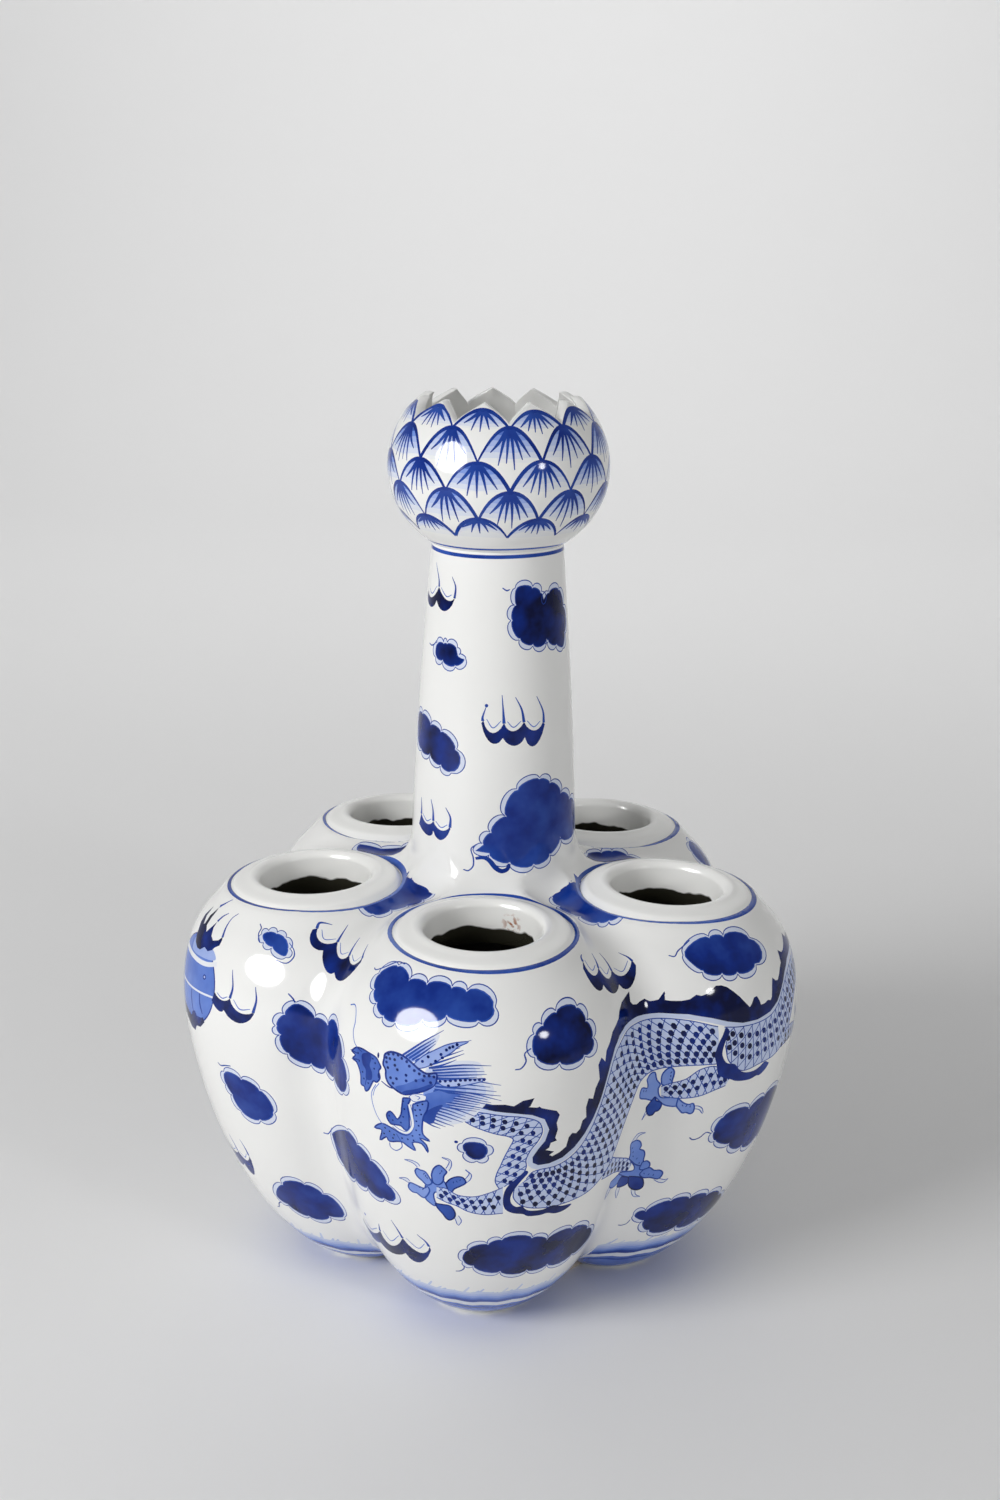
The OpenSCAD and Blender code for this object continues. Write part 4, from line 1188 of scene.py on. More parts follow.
def paint_shoulders(art):
    """Clouds in the hollows between the mouths, in a chart of azimuth and distance from the axis."""
    art.cloud(
        [(-44.6, 49.2), (-39.4, 48.6), (-37.2, 43.8), (-35.4, 38.5), (-35, 32.3), (-33.5, 28, 0),
         (-58, 28, 0), (-52, 30.5, 0), (-47.5, 35.5, 0), (-45.3, 42, 0)],
        0.86,
    )
    art.cloud(
        [(37, 29.6), (36.2, 33.9), (35.9, 43.8), (38.8, 48.8), (41.3, 50.4), (44.8, 52, 0), (44.7, 46.3, 0),
         (46.1, 38, 0), (52.5, 33.5, 0), (60, 29.5, 0), (61, 28, 0), (48, 28.2)],
        0.8,
    )
    for turn in (0, 72, 144):
        cusps = [(115, 30.3), (114.8, 34.7), (114, 37.8), (110, 41.5), (104, 44, 0), (104, 37, 0),
                 (100, 31, 0), (95, 28.2, 0), (108, 28, 0)]
        art.cloud([(c[0] + turn, *c[1:]) for c in cusps], 0.95)


def paint_neck(art):
    """Clouds and crested waves up the neck, and the two lines under the bulb."""
    art.wave(
        [(-74, 197), (-64, 195.6), (-52.9, 199.2), (-42, 196.2), (-33.8, 197.2)],
        [(-77, 195), (-64.6, 192.9), (-55.3, 195.3), (-43.7, 193), (-33.8, 196.6)],
        [[(-52.9, 199.2), (-54.3, 201.5), (-60.7, 205.4)], [(-33.8, 197), (-33.3, 200.1), (-37.6, 202.7)]],
    )
    art.cloud(
        [(-50, 180.2), (-49.5, 183.6), (-42.4, 184), (-38.6, 184.2), (-29.6, 183.4, 0), (-28, 181.6, -0.1),
         (-22.5, 181), (-30, 179), (-42.4, 179.8)],
        0.95, [(-62, 183), (-58, 182.7), (-54, 183.3), (-51, 184.5)],
    )
    art.cloud(
        [(15.4, 192), (18.4, 196, 0.1), (18.4, 200.2), (32.5, 200.2), (40.2, 198.8), (42.6, 195), (50, 198.3),
         (63.5, 198.4), (70.4, 193.4), (76, 190), (70.6, 186.2), (66, 182.6, 0.1), (57, 184), (47.2, 185.6),
         (45.4, 186.2, 0.3), (32, 185.2), (21.5, 187)],
        0.97, [(7, 200.7), (10.5, 200), (13, 200.3)],
    )
    art.wave(
        [(-6, 164.6), (0.7, 161.2), (9, 164), (15.6, 161.6), (23.9, 164), (31.6, 161.3), (39.5, 163.2)],
        [(-7.4, 163.8), (-0.5, 158.5), (8.2, 159.8), (16.5, 157.5), (24.4, 159.7), (32.4, 157),
         (41.4, 162.6)],
        [[(-6.4, 164.4), (-6.5, 165.6), (-3.9, 168.6)], [(9, 163.8), (8.4, 167), (7.4, 171.7)],
         [(23.9, 163.9), (22.1, 167.5), (17.4, 171)], [(40.4, 163), (39.8, 166.4), (34.5, 170.7)]],
    )
    art.dot((-3.9, 168.7), (0.5, 0.5), 0.8)
    art.cloud(
        [(-76, 157), (-76, 161.5), (-66, 162.4), (-52, 160.5), (-40.4, 159.6), (-27, 155.6, 0.35),
         (-30, 149.3), (-38.6, 150.6), (-51, 152.8), (-64, 152.7)],
        0.95,
    )
    art.wave(
        [(-58.8, 134.5), (-51.1, 132.3), (-44, 133.8), (-36.3, 131.8), (-28.8, 133.5)],
        [(-62, 131), (-49.3, 129), (-43.9, 131), (-35.9, 129), (-28.4, 132.8)],
        [[(-58.8, 134.3), (-58.8, 136.5), (-60, 139)], [(-44, 133.8), (-44.7, 136.9), (-47.3, 139.8)],
         [(-28.8, 133.2), (-28.8, 136.2), (-33, 138.7)]],
        0.9,
    )
    art.cloud(
        [(-9.5, 127.6, 0), (-4, 129.5), (1.4, 133), (11.6, 137.6), (19.4, 145), (36, 147.2), (45, 145.5),
         (56.4, 141.5), (69, 138.4), (80, 136), (80, 128.4), (55.4, 129.2), (43.4, 125.4), (30, 123.6),
         (14, 124.6), (0, 127.2, 0)],
        0.84, [(-17.5, 122), (-14, 121.8), (-11, 123.2), (-11, 125.5), (-12.7, 128), (-9, 129.5)],
    )
    art.brush(
        [(-9.5, 125.4), (-4, 125.8), (0, 125), (4, 123), (8, 122), (12, 122.5), (13.5, 124)], 0.9, 1.3,
        ends=0.5
    )
    # The hollow clouds' ends on the neck's sweep
    art.blob([(-31, 113.4), (-33, 114.4), (-38, 115.5), (-44, 116), (-54, 116.7), (-60, 117.4),
              (-60, 113)], 0.8)
    art.blob([(38, 113), (40, 114.2), (46, 115), (52, 115.8), (60, 117), (64, 117.4), (64, 113)], 0.75)
    az = np.linspace(-179.9, 179.9, 73)
    art.brush(np.column_stack([az, 208.9 + 0.12 * np.sin(az / 23)]), 0.78, 1.0, ends=1.0, per=1)


def paint_petals(art, skin):
    """Five rows of lotus petals, each an arch with a wash and veins that fan from its tip."""
    rows = (248.2, 243.8, 235.6, 228.0, 220.2, 215.2)
    pitch, first = skin.petal_pitch, skin.first_petal
    across = np.linspace(-1, 1, 17)
    ring = np.linspace(-190, 190, 77)
    art.brush(np.column_stack([ring, 211.2 + 0.12 * np.sin(ring / 19)]), 0.66, 0.6, ends=1.0, per=1)
    for row in range(len(rows) - 1):
        top, foot = rows[row], rows[row + 1]
        tall = top - foot
        low = foot - 0.55 * tall if row < len(rows) - 2 else foot - 0.5
        reach = 0.8 * (top - low)
        for k in range(-skin.petal_count, skin.petal_count):
            az = first + (k + 0.5 * (row % 2)) * pitch
            if abs(az - first) > 180 + pitch:
                continue
            jog = 0.35 * math.sin(5 * k + 2 * row)

            def arch(x):
                height = foot + tall * (1 - np.abs(x) ** 2.2) + jog * (1 - x * x)
                return np.stack([az + pitch / 2 * x, height], -1)

            edge = arch(across)
            art.shape(edge, 0.02)
            for wide, deep, tone in (
                (0.95, 0.6, 0.06), (0.86, 0.48, 0.12), (0.75, 0.37, 0.2), (0.62, 0.26, 0.3),
                (0.46, 0.16, 0.45)
            ):
                cap = arch(across * wide)
                sag = deep * (top - low) * (1 - across**2)
                cap = np.vstack([cap, (cap - np.stack([0 * sag, sag], -1))[::-1]])
                art.shape(cap, tone * (1 + 0.3 * math.sin(3 * k + row)))
            swell = 0.7 + 0.3 * (1 - across**2) + 0.3 * across * math.sin(2 * k + row)
            art.brush(np.column_stack([edge, swell]), 0.84, per=1)
            for v in np.linspace(-1, 1, 5 + (k + row) % 2):
                end = (az + 0.31 * pitch * v,
                       top + jog - reach * (0.95 - 0.3 * v * v + 0.08 * math.sin(7 * v + k)))
                mid = (az + 0.18 * pitch * v, top + jog - reach * 0.36)
                art.brush([(az + 0.05 * pitch * v, top + jog - 0.5, 1.0), (*mid, 0.8), (*end, 0.25)], 0.8,
                          per=3)


# Materials


def new_material(name, lay):
    """A material with one principled surface, whose inputs are what lay puts into its tree."""
    material = bpy.data.materials.new(name)
    material.use_nodes = True
    tree = material.node_tree
    tree.nodes.clear()
    where = add(tree, "ShaderNodeTexCoord").outputs["Object"]
    shader = add(tree, "ShaderNodeBsdfPrincipled", lay(tree, where))
    add(tree, "ShaderNodeOutputMaterial", [("Surface", shader.outputs["BSDF"])])
    return material


def lay_porcelain(tree, where):
    """Glazed porcelain: neutral white body, cobalt brushed under a clear, smooth, glossy glaze.
    The eye gets a hard white ground, blue that pools and thins with the brush, and sharp highlights."""
    tone = add(tree, "ShaderNodeAttribute", attribute_name="tone")
    # Brush washes about 9 mm long, coarser than the real hair marks so that they show
    wash = add(tree, "ShaderNodeTexNoise", [("Vector", where), ("Scale", 110.0), ("Detail", 3.0)])
    vary = add(
        tree, "ShaderNodeMapRange",
        [("Value", wash.outputs["Fac"]), ("From Min", 0.3), ("From Max", 0.7),
         ("To Min", 0.84), ("To Max", 1.06)],
    )
    brushed = add(
        tree, "ShaderNodeMath", [(0, tone.outputs["Fac"]), (1, vary.outputs["Result"])], operation="MULTIPLY"
    )
    ramp = add(tree, "ShaderNodeValToRGB", [("Fac", brushed.outputs["Value"])])
    stops = (
        (0.0, "#efefed"), (0.12, "#c3cfec"), (0.4, "#6f8fdb"),
        (0.62, "#2f55b0"), (0.85, "#082a82"), (1.0, "#010a38"),
    )
    while len(ramp.color_ramp.elements) < len(stops):
        ramp.color_ramp.elements.new(0.5)
    for element, (at, colour) in zip(ramp.color_ramp.elements, stops):
        element.position = at
        element.color = linear(colour)
    return [("Base Color", ramp.outputs["Color"]), ("Roughness", 0.08), ("Specular IOR Level", 0.26)]


def lay_lip(tree, where):
    """Glazed lip over a bare inside: glossy white that stops in an uneven edge down the throat, and below it
    bare clay darkened to near black as painted shade.
    The eye gets a bright ring round a dim, matt, olive-grey hollow."""
    depth = add(tree, "ShaderNodeAttribute", attribute_name="depth")
    # The glaze ends unevenly, in runs about 8 mm wide
    uneven = add(tree, "ShaderNodeTexNoise", [("Vector", where), ("Scale", 120.0)])
    end = add(
        tree, "ShaderNodeMath", [(0, uneven.outputs["Fac"]), (1, 5.0), (2, depth.outputs["Fac"])],
        operation="MULTIPLY_ADD",
    )
    covered = add(
        tree, "ShaderNodeMapRange", [("Value", end.outputs["Value"]), ("From Min", -2.6), ("From Max", -2.1)]
    )
    # A brown iron stain about 5 mm long on the front mouth's inner wall, broken into fine streaks
    away = add(tree, "ShaderNodeVectorMath", [(0, where), (1, (0.007, -0.038, 0.112))], operation="DISTANCE")
    patch = add(
        tree, "ShaderNodeMapRange",
        [("Value", away.outputs["Value"]), ("From Min", 0.0036), ("From Max", 0.0008)],
    )
    grain = add(tree, "ShaderNodeTexNoise", [("Vector", where), ("Scale", 700.0), ("Detail", 2.0)])
    streak = add(
        tree, "ShaderNodeMapRange", [("Value", grain.outputs["Fac"]), ("From Min", 0.5), ("From Max", 0.6)]
    )
    stain = add(
        tree, "ShaderNodeMath",
        [(0, patch.outputs["Result"]), (1, streak.outputs["Result"])], operation="MULTIPLY",
    )
    glazed = add(
        tree, "ShaderNodeMix",
        [("Factor", stain.outputs["Value"]), (MIX_A, linear("#f8f8f5")), (MIX_B, linear("#a8683f"))],
        data_type="RGBA",
    )
    # Past the glaze's edge the throat is near black: bare clay darkened as painted shade for the deep hollow
    colour = add(
        tree, "ShaderNodeMix",
        [("Factor", covered.outputs["Result"]), (MIX_A, linear("#2b2a22")), (MIX_B, glazed.outputs[MIXED])],
        data_type="RGBA",
    )
    return [("Base Color", colour.outputs[MIXED]), ("Roughness", 0.2), ("IOR", 1.5)]


def lay_inside(tree, where):
    """Unglazed inner clay: matt, dark olive-grey darkened to near black as painted shade, blotched. The eye
    gets a dim hollow behind the throat.
    """
    # Blotches about 12 mm wide where slip ran when the lobes were luted
    blotch = add(tree, "ShaderNodeTexNoise", [("Vector", where), ("Scale", 80.0), ("Detail", 4.0)])
    # Both tones are near black: painted shade for the hollow, laid over the clay's own olive-grey
    colour = add(
        tree, "ShaderNodeMix",
        [("Factor", blotch.outputs["Fac"]), (MIX_A, linear("#1b1a15")), (MIX_B, linear("#2f2d25"))],
        data_type="RGBA",
    )
    return [("Base Color", colour.outputs[MIXED]), ("Roughness", 0.9)]


def lay_biscuit(tree, where):
    """Bare fired clay: matt, warm grey-white with fine specks. The eye gets a dry, chalky foot."""
    # Specks about 1.5 mm apart, as large as the grog in such clay
    specks = add(tree, "ShaderNodeTexNoise", [("Vector", where), ("Scale", 650.0), ("Detail", 4.0)])
    colour = add(
        tree, "ShaderNodeMix",
        [("Factor", specks.outputs["Fac"]), (MIX_A, linear("#a89a88")), (MIX_B, linear("#d8cfc2"))],
        data_type="RGBA",
    )
    bump = add(
        tree, "ShaderNodeBump", [("Height", specks.outputs["Fac"]), ("Strength", 0.3), ("Distance", 0.0002)]
    )
    return [("Base Color", colour.outputs[MIXED]), ("Roughness", 0.85), ("Normal", bump.outputs["Normal"])]


def porcelain():
    """The painted porcelain, made once."""
    name = "cobalt_on_porcelain"
    return bpy.data.materials.get(name) or new_material(name, lay_porcelain)


# Building


def lobe_charts(skin):
    """The lobes' paintings, each with the way from its chart to the skin; the back repeats front motifs."""
    front, sides = Painting(SIDE_SCALE), Painting(SIDE_SCALE)
    paint_border(front)
    paint_clouds(front)
    sides.borrow(front, -58, 78, BACK_TURN)
    sides.borrow(front, -360, 360, 0)
    paint_pearl(sides)
    paint_dragon(sides)
    crests = Painting(*CREST_SCALE)
    paint_crests(crests, skin.crest_chart)
    crests.borrow(crests, -27, 78, BACK_TURN)
    tops = Painting(TOP_SCALE)
    paint_shoulders(tops)
    return (sides, skin.side_points), (tops, skin.top_points), (crests, skin.crest_points)


def build_lobes(skin, charts, material):
    """One painted skin for each lobe, with the blue line at the foot of its lip."""
    for i in range(LOBES):
        chart = LobeChart(skin, i)
        maps, tones = [], []
        for paint, place in charts:
            for centre in (LOBE_STEP * i, LOBE_STEP * i - 360):
                shapes, found = paint.clipped(centre - HALF_CHART, centre + HALF_CHART)
                if shapes:
                    ends = np.cumsum([len(s) for s in shapes])[:-1]
                    maps += np.split(chart.flat(place(np.vstack(shapes))), ends)
                    tones += found
        for shape, value in zip(*chart.lip_line()):
            maps.append(chart.flat(shape))
            tones.append(value)
        hole, own = chart.edges()
        flat, tris, tone = weave(own, [hole], chart.grid(skin.mesh_step), maps, tones)
        points = chart.surface(flat)
        uv = unit_square(flat / np.sqrt(1 + (flat**2).sum(1) / 4)[:, None])
        normals = steepest(skin.value, points)
        piece = make_piece(f"lobe_skin_{i + 1}", points, tris, normals, tone, material, uv)
        settle(piece, "painted_porcelain", f"lobe_{i + 1}")


def build_insides(skin, material):
    """The lobes' inner walls, which show through the mouths; neighbours meet at their seams."""
    points, normals, tris = [], [], []
    count, rings = 72, 22
    turn = np.linspace(0, 2 * math.pi, count, endpoint=False)
    for i in range(LOBES):
        chart = LobeChart(skin, i)

        def wall(p):
            return skin.lobe(p, i) + skin.wall

        def wall_points(lean):
            return chart.along(chart.polar(turn, lean), wall)

        ends = np.full(count, 0.3), np.full(count, 2.5)
        reach, _ = bisect(*ends, lambda lean: chart.room(wall_points(lean)) > 0, 14)
        spots = np.vstack([wall_points(reach * k / rings) for k in range(rings + 1)])
        mouth = spots - chart.out * skin.mouth_ring_r
        open_top = (np.hypot(mouth[:, 0], mouth[:, 1]) < skin.mouth_r + 2) & (spots[:, 2] > skin.mouth_z / 2)
        start = len(spots) * i
        for a, b, c, d in rolled_faces(rings + 1, count):
            if not open_top[[a, b, c, d]].any():
                tris += [(start + a, start + b, start + c), (start + a, start + c, start + d)]
        points.append(spots)
        normals.append(-steepest(wall, spots))
    tone = np.zeros(len(tris))
    piece = make_piece("lobe_insides", np.vstack(points), np.array(tris), np.vstack(normals), tone, material)
    settle(piece, "painted_porcelain", *[f"lobe_{k + 1}" for k in range(LOBES)])


def box_grid(low, high, step):
    """Staggered points in a box."""
    rows = []
    for k, y in enumerate(np.arange(low[1] + step / 2, high[1], step * ROW_GAP)):
        x = np.arange(low[0] + step * (0.5 + 0.5 * (k % 2)), high[0] - step * 0.4, step)
        rows.append(np.stack([x, np.full(len(x), y)], -1))
    return np.vstack(rows)


def build_neck(skin, art, material):
    """The painted neck, down its sweep to where the lobes begin."""
    az = np.linspace(-180, 180, 181)
    foot = skin.top_points(np.stack([az, np.full(len(az), skin.ring_r + 0.4)], -1))[:, 2] - 0.1
    top = skin.neck_top_z
    outline = np.vstack([np.stack([az, foot], -1), np.stack([az[::-1], np.full(len(az), top)], -1)])
    outline = divide(outline, art.scale, skin.mesh_step)
    wide = art.scale[0]
    grid = box_grid((-180 * wide, foot.min()), (180 * wide, top), skin.mesh_step)
    level = np.interp(grid[:, 0] / wide, az, foot)
    grid = grid[(grid[:, 1] > level + EDGE_ROOM) & (grid[:, 1] < top - EDGE_ROOM)]
    # The lip lines run on over the sweep
    for i in range(LOBES):
        for shape, value in zip(*LobeChart(skin, i).lip_line()):
            x, y, z = shape.T
            if np.hypot(x, y).min() < skin.ring_r + 1:
                art.shape(np.stack([np.degrees(np.arctan2(x, -y)), z], -1), value)
    shapes, tones = art.clipped(-179.9, 179.9)
    flat, tris, tone = weave(outline * art.scale, [], grid, [s * art.scale for s in shapes], tones)
    turn = np.radians(flat[:, 0] / wide)
    axis = ring_points(turn, 0, flat[:, 1])
    points = skin.leave(axis, ring_points(turn, 1, 0), 12, skin.ring_r + 0.6, 18)
    normals = steepest(skin.value, points)
    piece = make_piece("neck_skin", points, tris, normals, tone, material, unit_square(flat))
    settle(piece, "painted_porcelain", "neck", "shoulder_ring")


def build_bulb(skin, art, material):
    """The lotus bulb: painted outside, rounded teeth, plain inside and the throat below it."""
    count = skin.petal_count * 16
    az = skin.first_petal - 180 + np.arange(count + 1) * 360 / count
    edge = skin.tooth_height(az)
    low_z = skin.neck_top_z
    rise = np.linspace(low_z, edge[0], 40)[1:-1]
    right, left = (np.stack([np.full(len(rise), side), rise], -1) for side in (az[-1], az[0]))
    foot = np.stack([az, np.full(len(az), low_z)], -1)
    outline = np.vstack([foot, right, np.stack([az, edge], -1)[::-1], left[::-1]])
    wide = art.scale[0]
    grid = box_grid((az[0] * wide, low_z), (az[-1] * wide, edge.max()), skin.mesh_step)
    grid = grid[grid[:, 1] < np.interp(grid[:, 0] / wide, az, edge) - EDGE_ROOM]
    shapes, tones = art.clipped(az[0] + 0.1, az[-1] - 0.1)
    flat, tris, tone = weave(outline * art.scale, [], grid, [s * art.scale for s in shapes], tones)
    points = ring_points(np.radians(flat[:, 0] / wide), skin.bulb_radius(flat[:, 1]), flat[:, 1])
    # The rounded edge and the inside, row by row from the teeth down to the throat
    wall = skin.bulb_wall
    rows = []
    for lift, inward in ((0, 0), (0.28, 0.25), (0.34, 0.55), (0.2, 0.85), (0, 1)):
        rows.append((edge + lift, skin.bulb_radius(edge) - wall * inward))
    floor_z = low_z + wall
    for k in range(1, 15):
        z = edge + (floor_z - edge) * math.sin(math.pi / 2 * k / 14) ** 0.9
        rows.append((z, skin.bulb_radius(z) - wall))
    bore = skin.neck_top_r - 6.5
    for z, r in ((floor_z - 0.4, bore + 3), (floor_z - 1, bore), (low_z - 6, bore)):
        rows.append((z, r))
    inside = np.stack([ring_points(np.radians(az), r, z) for z, r in rows])
    n = len(az)
    corners = [r * n + k for r in range(len(rows) - 1) for k in range(n - 1)]
    strip = np.array([(a, a + 1, a + 1 + n, a, a + 1 + n, a + n) for a in corners]).reshape(-1, 3)
    # The outside takes the lower part of the bake map and the inside the strip above it
    spin = np.stack(np.meshgrid(np.linspace(0, 1, n), np.linspace(0, 0.3, len(rows))), -1).reshape(-1, 2)
    piece = make_piece(
        "lotus_bulb_skin",
        np.vstack([points, inside.reshape(-1, 3)]),
        np.vstack([tris, strip + len(points)]),
        np.vstack([turned_normals(skin.bulb_radius, points), row_normals(inside).reshape(-1, 3)]),
        np.concatenate([tone, np.zeros(len(strip))]),
        material,
        np.vstack([unit_square(flat) * [1, 0.66], spin + [0, 0.69]]),
    )
    settle(piece, "painted_porcelain", "lotus_bulb")


def turned_normals(radius, points):
    """Outward normals of a turned surface."""
    x, y, z = points.T
    slope = (radius(z + 0.01) - radius(z - 0.01)) / 0.02
    flat = np.hypot(x, y)
    return unit(np.stack([x / flat, y / flat, -slope], -1))


def row_normals(rows):
    """Normals of a rolled grid whose rows run from the edge inwards."""
    along = np.roll(rows, -1, 1) - np.roll(rows, 1, 1)
    along[:, 0] = rows[:, 1] - rows[:, 0]
    along[:, -1] = rows[:, -1] - rows[:, -2]
    return unit(np.cross(np.gradient(rows, axis=0), along))


def lip_form(skin):
    """One lip with its throat as a turned mesh that knows its depth, leaning at its own mouth."""
    low, r, wall = -skin.throat_l, skin.mouth_r, skin.throat_wall
    profile = [
        *skin.lip_slope(), *skin.lip_crest(-22.5, 91, 12.5), (r, low / 2), (r, low + 0.6), (r + 0.6, low),
        (r + wall - 0.4, low), (r + wall, low + 0.4), (r + wall, -2.5),
    ]
    count = 96
    turn = np.arange(count) * 2 * math.pi / count
    x, y, z = np.vstack([np.stack([r * np.cos(turn), r * np.sin(turn), 0 * turn + z], -1) for r,
                         z in profile]).T
    out, up = tilted(x, z, -skin.mouth_tilt)
    placed = np.stack([out + skin.mouth_ring_r, y, up + skin.mouth_z], -1) / 1000
    faces = rolled_faces(len(profile), count)
    mesh = bpy.data.meshes.new("lip_form")
    mesh.from_pydata(placed.tolist(), [], faces)
    mesh.polygons.foreach_set("use_smooth", np.ones(len(faces), bool))
    mesh.attributes.new("depth", "FLOAT", "POINT").data.foreach_set("value", z.astype(np.float32))
    return link(bpy.data.objects.new("lip_form", mesh))


def build_lips(skin, material):
    """Five lips with their throats, one turned form repeated round the neck by geometry nodes."""
    tree = bpy.data.node_groups.new("lips_round_neck", "GeometryNodeTree")
    tree.interface.new_socket("Geometry", in_out="INPUT", socket_type="NodeSocketGeometry")
    count = tree.interface.new_socket("Mouths", in_out="INPUT", socket_type="NodeSocketInt")
    first = tree.interface.new_socket("First turn", in_out="INPUT", socket_type="NodeSocketFloat")
    tree.interface.new_socket("Geometry", in_out="OUTPUT", socket_type="NodeSocketGeometry")
    given = add(tree, "NodeGroupInput").outputs
    line = add(tree, "GeometryNodeMeshLine", [("Count", given["Mouths"]), ("Offset", (0, 0, 0))])
    index = add(tree, "GeometryNodeInputIndex")
    pitch = add(tree, "ShaderNodeMath", [(0, 2 * math.pi), (1, given["Mouths"])], operation="DIVIDE")
    turn = add(
        tree, "ShaderNodeMath",
        [(0, index.outputs["Index"]), (1, pitch.outputs["Value"]), (2, given["First turn"])],
        operation="MULTIPLY_ADD",
    )
    spin = add(tree, "ShaderNodeCombineXYZ", [("Z", turn.outputs["Value"])])
    copies = add(
        tree, "GeometryNodeInstanceOnPoints",
        [("Points", line.outputs["Mesh"]), ("Instance", given["Geometry"]),
         ("Rotation", spin.outputs["Vector"])],
    )
    real = add(tree, "GeometryNodeRealizeInstances", [("Geometry", copies.outputs["Instances"])])
    glazed = add(
        tree, "GeometryNodeSetMaterial", [("Geometry", real.outputs["Geometry"]), ("Material", material)]
    )
    add(tree, "NodeGroupOutput", [("Geometry", glazed.outputs["Geometry"])])
    form = lip_form(skin)
    modifier = form.modifiers.new("lips", "NODES")
    modifier.node_group = tree
    modifier[count.identifier] = LOBES
    modifier[first.identifier] = -math.pi / 2
    ready = form.evaluated_get(bpy.context.evaluated_depsgraph_get())
    lips = link(bpy.data.objects.new("mouth_lips", bpy.data.meshes.new_from_object(ready)))
    bpy.data.objects.remove(form)
    settle(lips, "lip_glaze", *[f"mouth_rim_{k + 1}" for k in range(LOBES)])


def build_base(material):
    """The plain base slab keeps its solid and gets the colour of bare fired clay."""
    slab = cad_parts["base_slab"]
    slab.data.materials.clear()
    slab.data.materials.append(material)


def build_floor(colour):
    """Pale paper that curves up from the floor into a backdrop, in metres."""
    bend_r, bend_y, front, half, top = 0.7, 1.3, -3.0, 4.0, 3.5
    bend = [
        (bend_y + bend_r * math.sin(a),
         bend_r - bend_r * math.cos(a)) for a in np.radians(np.arange(0, 91, 6))
    ]
    profile = [(front, 0.0), *bend, (bend_y + bend_r, top)]
    verts = [(x, y, z) for y, z in profile for x in (-half, half)]
    faces = [(2 * k, 2 * k + 1, 2 * k + 3, 2 * k + 2) for k in range(len(profile) - 1)]
    floor = bpy.data.meshes.new("floor")
    floor.from_pydata(verts, [], faces)
    floor.polygons.foreach_set("use_smooth", np.ones(len(faces), bool))
    paper = bpy.data.materials.new("studio_paper")
    paper.use_nodes = True
    paper.node_tree.nodes["Principled BSDF"].inputs["Base Color"].default_value = linear(colour)
    paper.node_tree.nodes["Principled BSDF"].inputs["Roughness"].default_value = 0.9
    floor.materials.append(paper)
    link(bpy.data.objects.new("floor", floor))


def build_stage(stage):
    """Paper floor, soft studio light and the camera at the photograph's angle."""
    build_floor(stage.paper)
    world = bpy.data.worlds.new("studio")
    world.use_nodes = True
    world.node_tree.nodes["Background"].inputs["Color"].default_value = linear("#f2f2f2")
    world.node_tree.nodes["Background"].inputs["Strength"].default_value = stage.ambient
    bpy.context.scene.world = world
    vase, backdrop = Vector((0, 0, 0.13)), Vector((0, 2, 0.9))
    for name, place, size, power, aim in (
        ("key", (-0.8, -0.7, 0.6), 0.45, stage.key, vase),
        ("shine", (-0.8, -0.7, 0.55), 0.66, stage.shine, vase),
        ("spark", (0.86, -0.8, 0.43), 0.14, stage.spark, vase),
        ("backdrop", (0, 0.7, 1.5), 1.2, stage.backdrop, backdrop),
    ):
        light = bpy.data.lights.new(name, "AREA")
        light.shape = "DISK"
        light.size = size
        light.energy = power
        lamp = link(bpy.data.objects.new(name, light))
        lamp.location = place
        # The key light only lights, and the shine is seen only in the glaze
        lamp.visible_glossy = name != "key"
        lamp.visible_diffuse = name != "shine"
        lamp.rotation_euler = (aim - Vector(place)).to_track_quat("-Z", "Y").to_euler()
    camera = bpy.data.cameras.new("camera")
    camera.sensor_width = SENSOR
    camera.lens = stage.focal / FRAME_PIXELS * SENSOR
    camera.shift_x = stage.slide / FRAME_PIXELS
    eye = link(bpy.data.objects.new("camera", camera))
    eye.matrix_world = (
        Matrix.Rotation(stage.swing, 4, "Z")
        @ Matrix.Translation((0, -stage.distance, stage.height))
        @ Matrix.Rotation(math.radians(90) - stage.pitch, 4, "X")
        @ Matrix.Rotation(stage.roll, 4, "Z")
    )
    bpy.context.scene.camera = eye
    bpy.context.scene.view_settings.view_transform = "Standard"


# Operators and panel


class VASE_OT_lobes(bpy.types.Operator):
    """Builds the five painted lobes"""

    bl_idname = "vase.lobes"
    bl_label = "Build lobes"

    def execute(self, context):
        skin = Skin(context.scene.vase)
        build_lobes(skin, lobe_charts(skin), porcelain())
        build_insides(skin, new_material("bare_inner_clay", lay_inside))
        return {"FINISHED"}


class VASE_OT_neck(bpy.types.Operator):
    """Builds the painted neck"""

    bl_idname = "vase.neck"
    bl_label = "Build neck"

    def execute(self, context):
        art = Painting(NECK_SCALE)
        paint_neck(art)
        build_neck(Skin(context.scene.vase), art, porcelain())
        return {"FINISHED"}


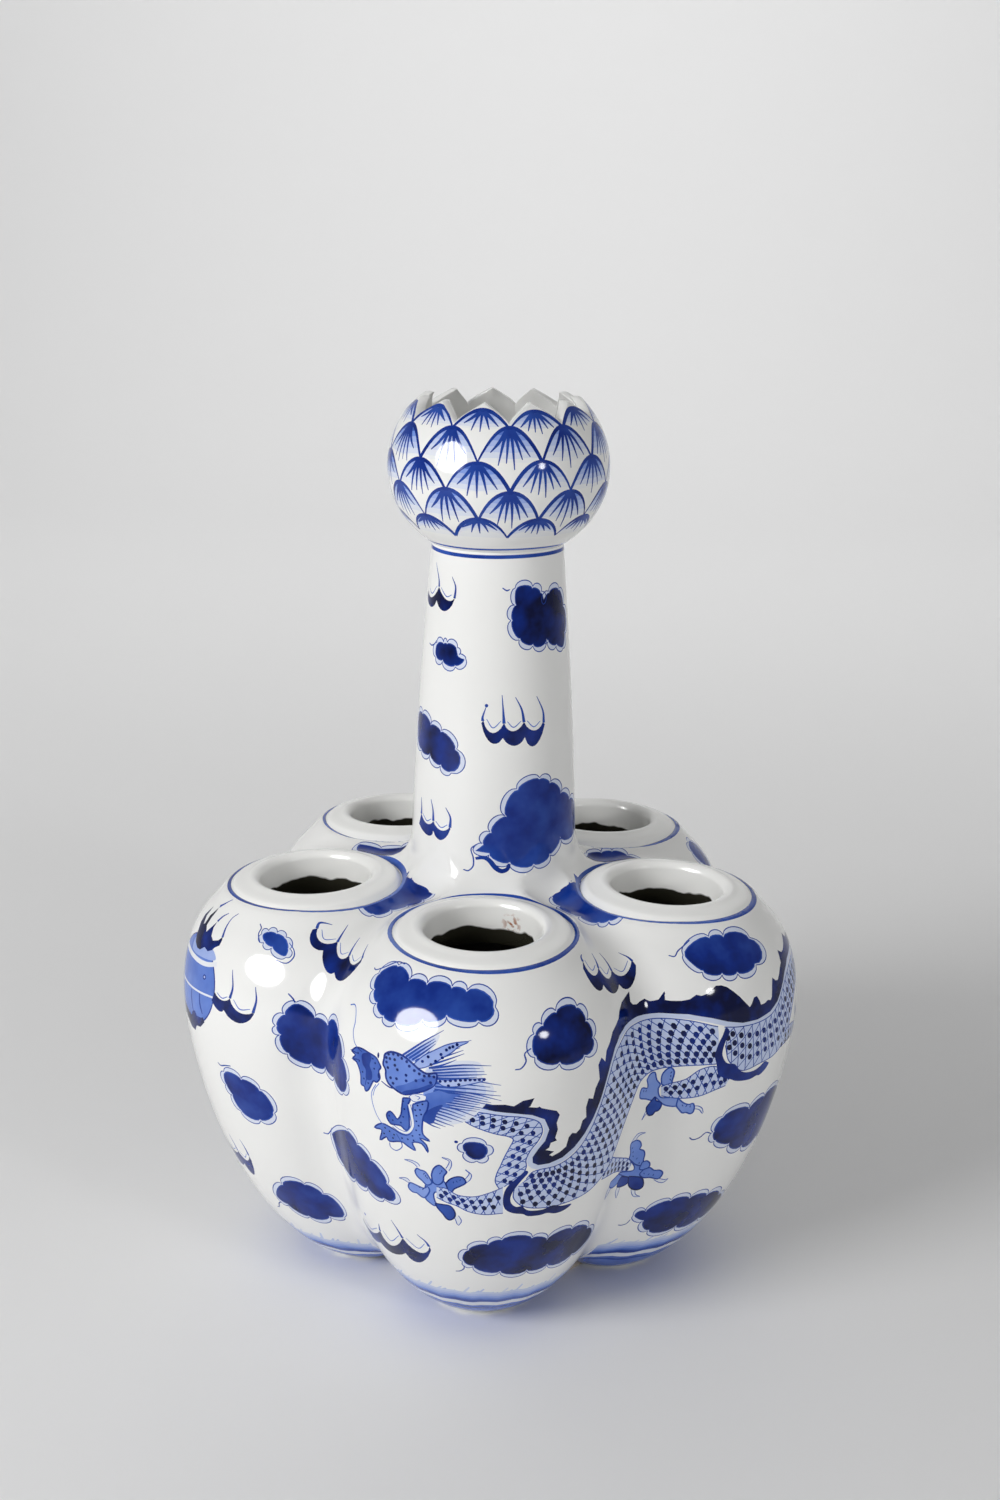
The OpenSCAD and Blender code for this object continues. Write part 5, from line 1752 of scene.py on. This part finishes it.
class VASE_OT_bulb(bpy.types.Operator):
    """Builds the lotus bulb with its petals"""

    bl_idname = "vase.bulb"
    bl_label = "Build lotus bulb"

    def execute(self, context):
        skin = Skin(context.scene.vase)
        art = Painting(BULB_SCALE)
        paint_petals(art, skin)
        build_bulb(skin, art, porcelain())
        return {"FINISHED"}


class VASE_OT_lips(bpy.types.Operator):
    """Builds the five lips and their throats"""

    bl_idname = "vase.lips"
    bl_label = "Build lips"

    def execute(self, context):
        build_lips(Skin(context.scene.vase), new_material("white_lip_glaze", lay_lip))
        return {"FINISHED"}


class VASE_OT_base(bpy.types.Operator):
    """Gives the base slab its bare clay"""

    bl_idname = "vase.base"
    bl_label = "Finish base"

    def execute(self, context):
        build_base(new_material("bare_fired_clay", lay_biscuit))
        return {"FINISHED"}


class VASE_OT_stage(bpy.types.Operator):
    """Builds the floor, the light and the camera"""

    bl_idname = "vase.stage"
    bl_label = "Build stage"

    def execute(self, context):
        build_stage(context.scene.vase_stage)
        return {"FINISHED"}


OPERATORS = (VASE_OT_lobes, VASE_OT_neck, VASE_OT_bulb, VASE_OT_lips, VASE_OT_base, VASE_OT_stage)


class VASE_PT_panel(bpy.types.Panel):
    """Sizes and build steps of the vase"""

    bl_idname = "VASE_PT_panel"
    bl_label = "Painted tulip vase"
    bl_space_type = "VIEW_3D"
    bl_region_type = "UI"
    bl_category = "Vase"

    def draw(self, context):
        for operator in OPERATORS:
            self.layout.operator(operator.bl_idname)
        for group in (context.scene.vase, context.scene.vase_stage):
            for name in group.__annotations__:
                self.layout.prop(group, name)


CLASSES = (VaseSizes, VaseStage, *OPERATORS, VASE_PT_panel)


def register():
    for cls in CLASSES:
        bpy.utils.register_class(cls)
    bpy.types.Scene.vase = bpy.props.PointerProperty(type=VaseSizes)
    bpy.types.Scene.vase_stage = bpy.props.PointerProperty(type=VaseStage)


def unregister():
    del bpy.types.Scene.vase_stage
    del bpy.types.Scene.vase
    for cls in reversed(CLASSES):
        bpy.utils.unregister_class(cls)


def main():
    register()
    for operator in OPERATORS:
        group, name = operator.bl_idname.split(".")
        getattr(getattr(bpy.ops, group), name)()


if __name__ == "__main__":
    main()
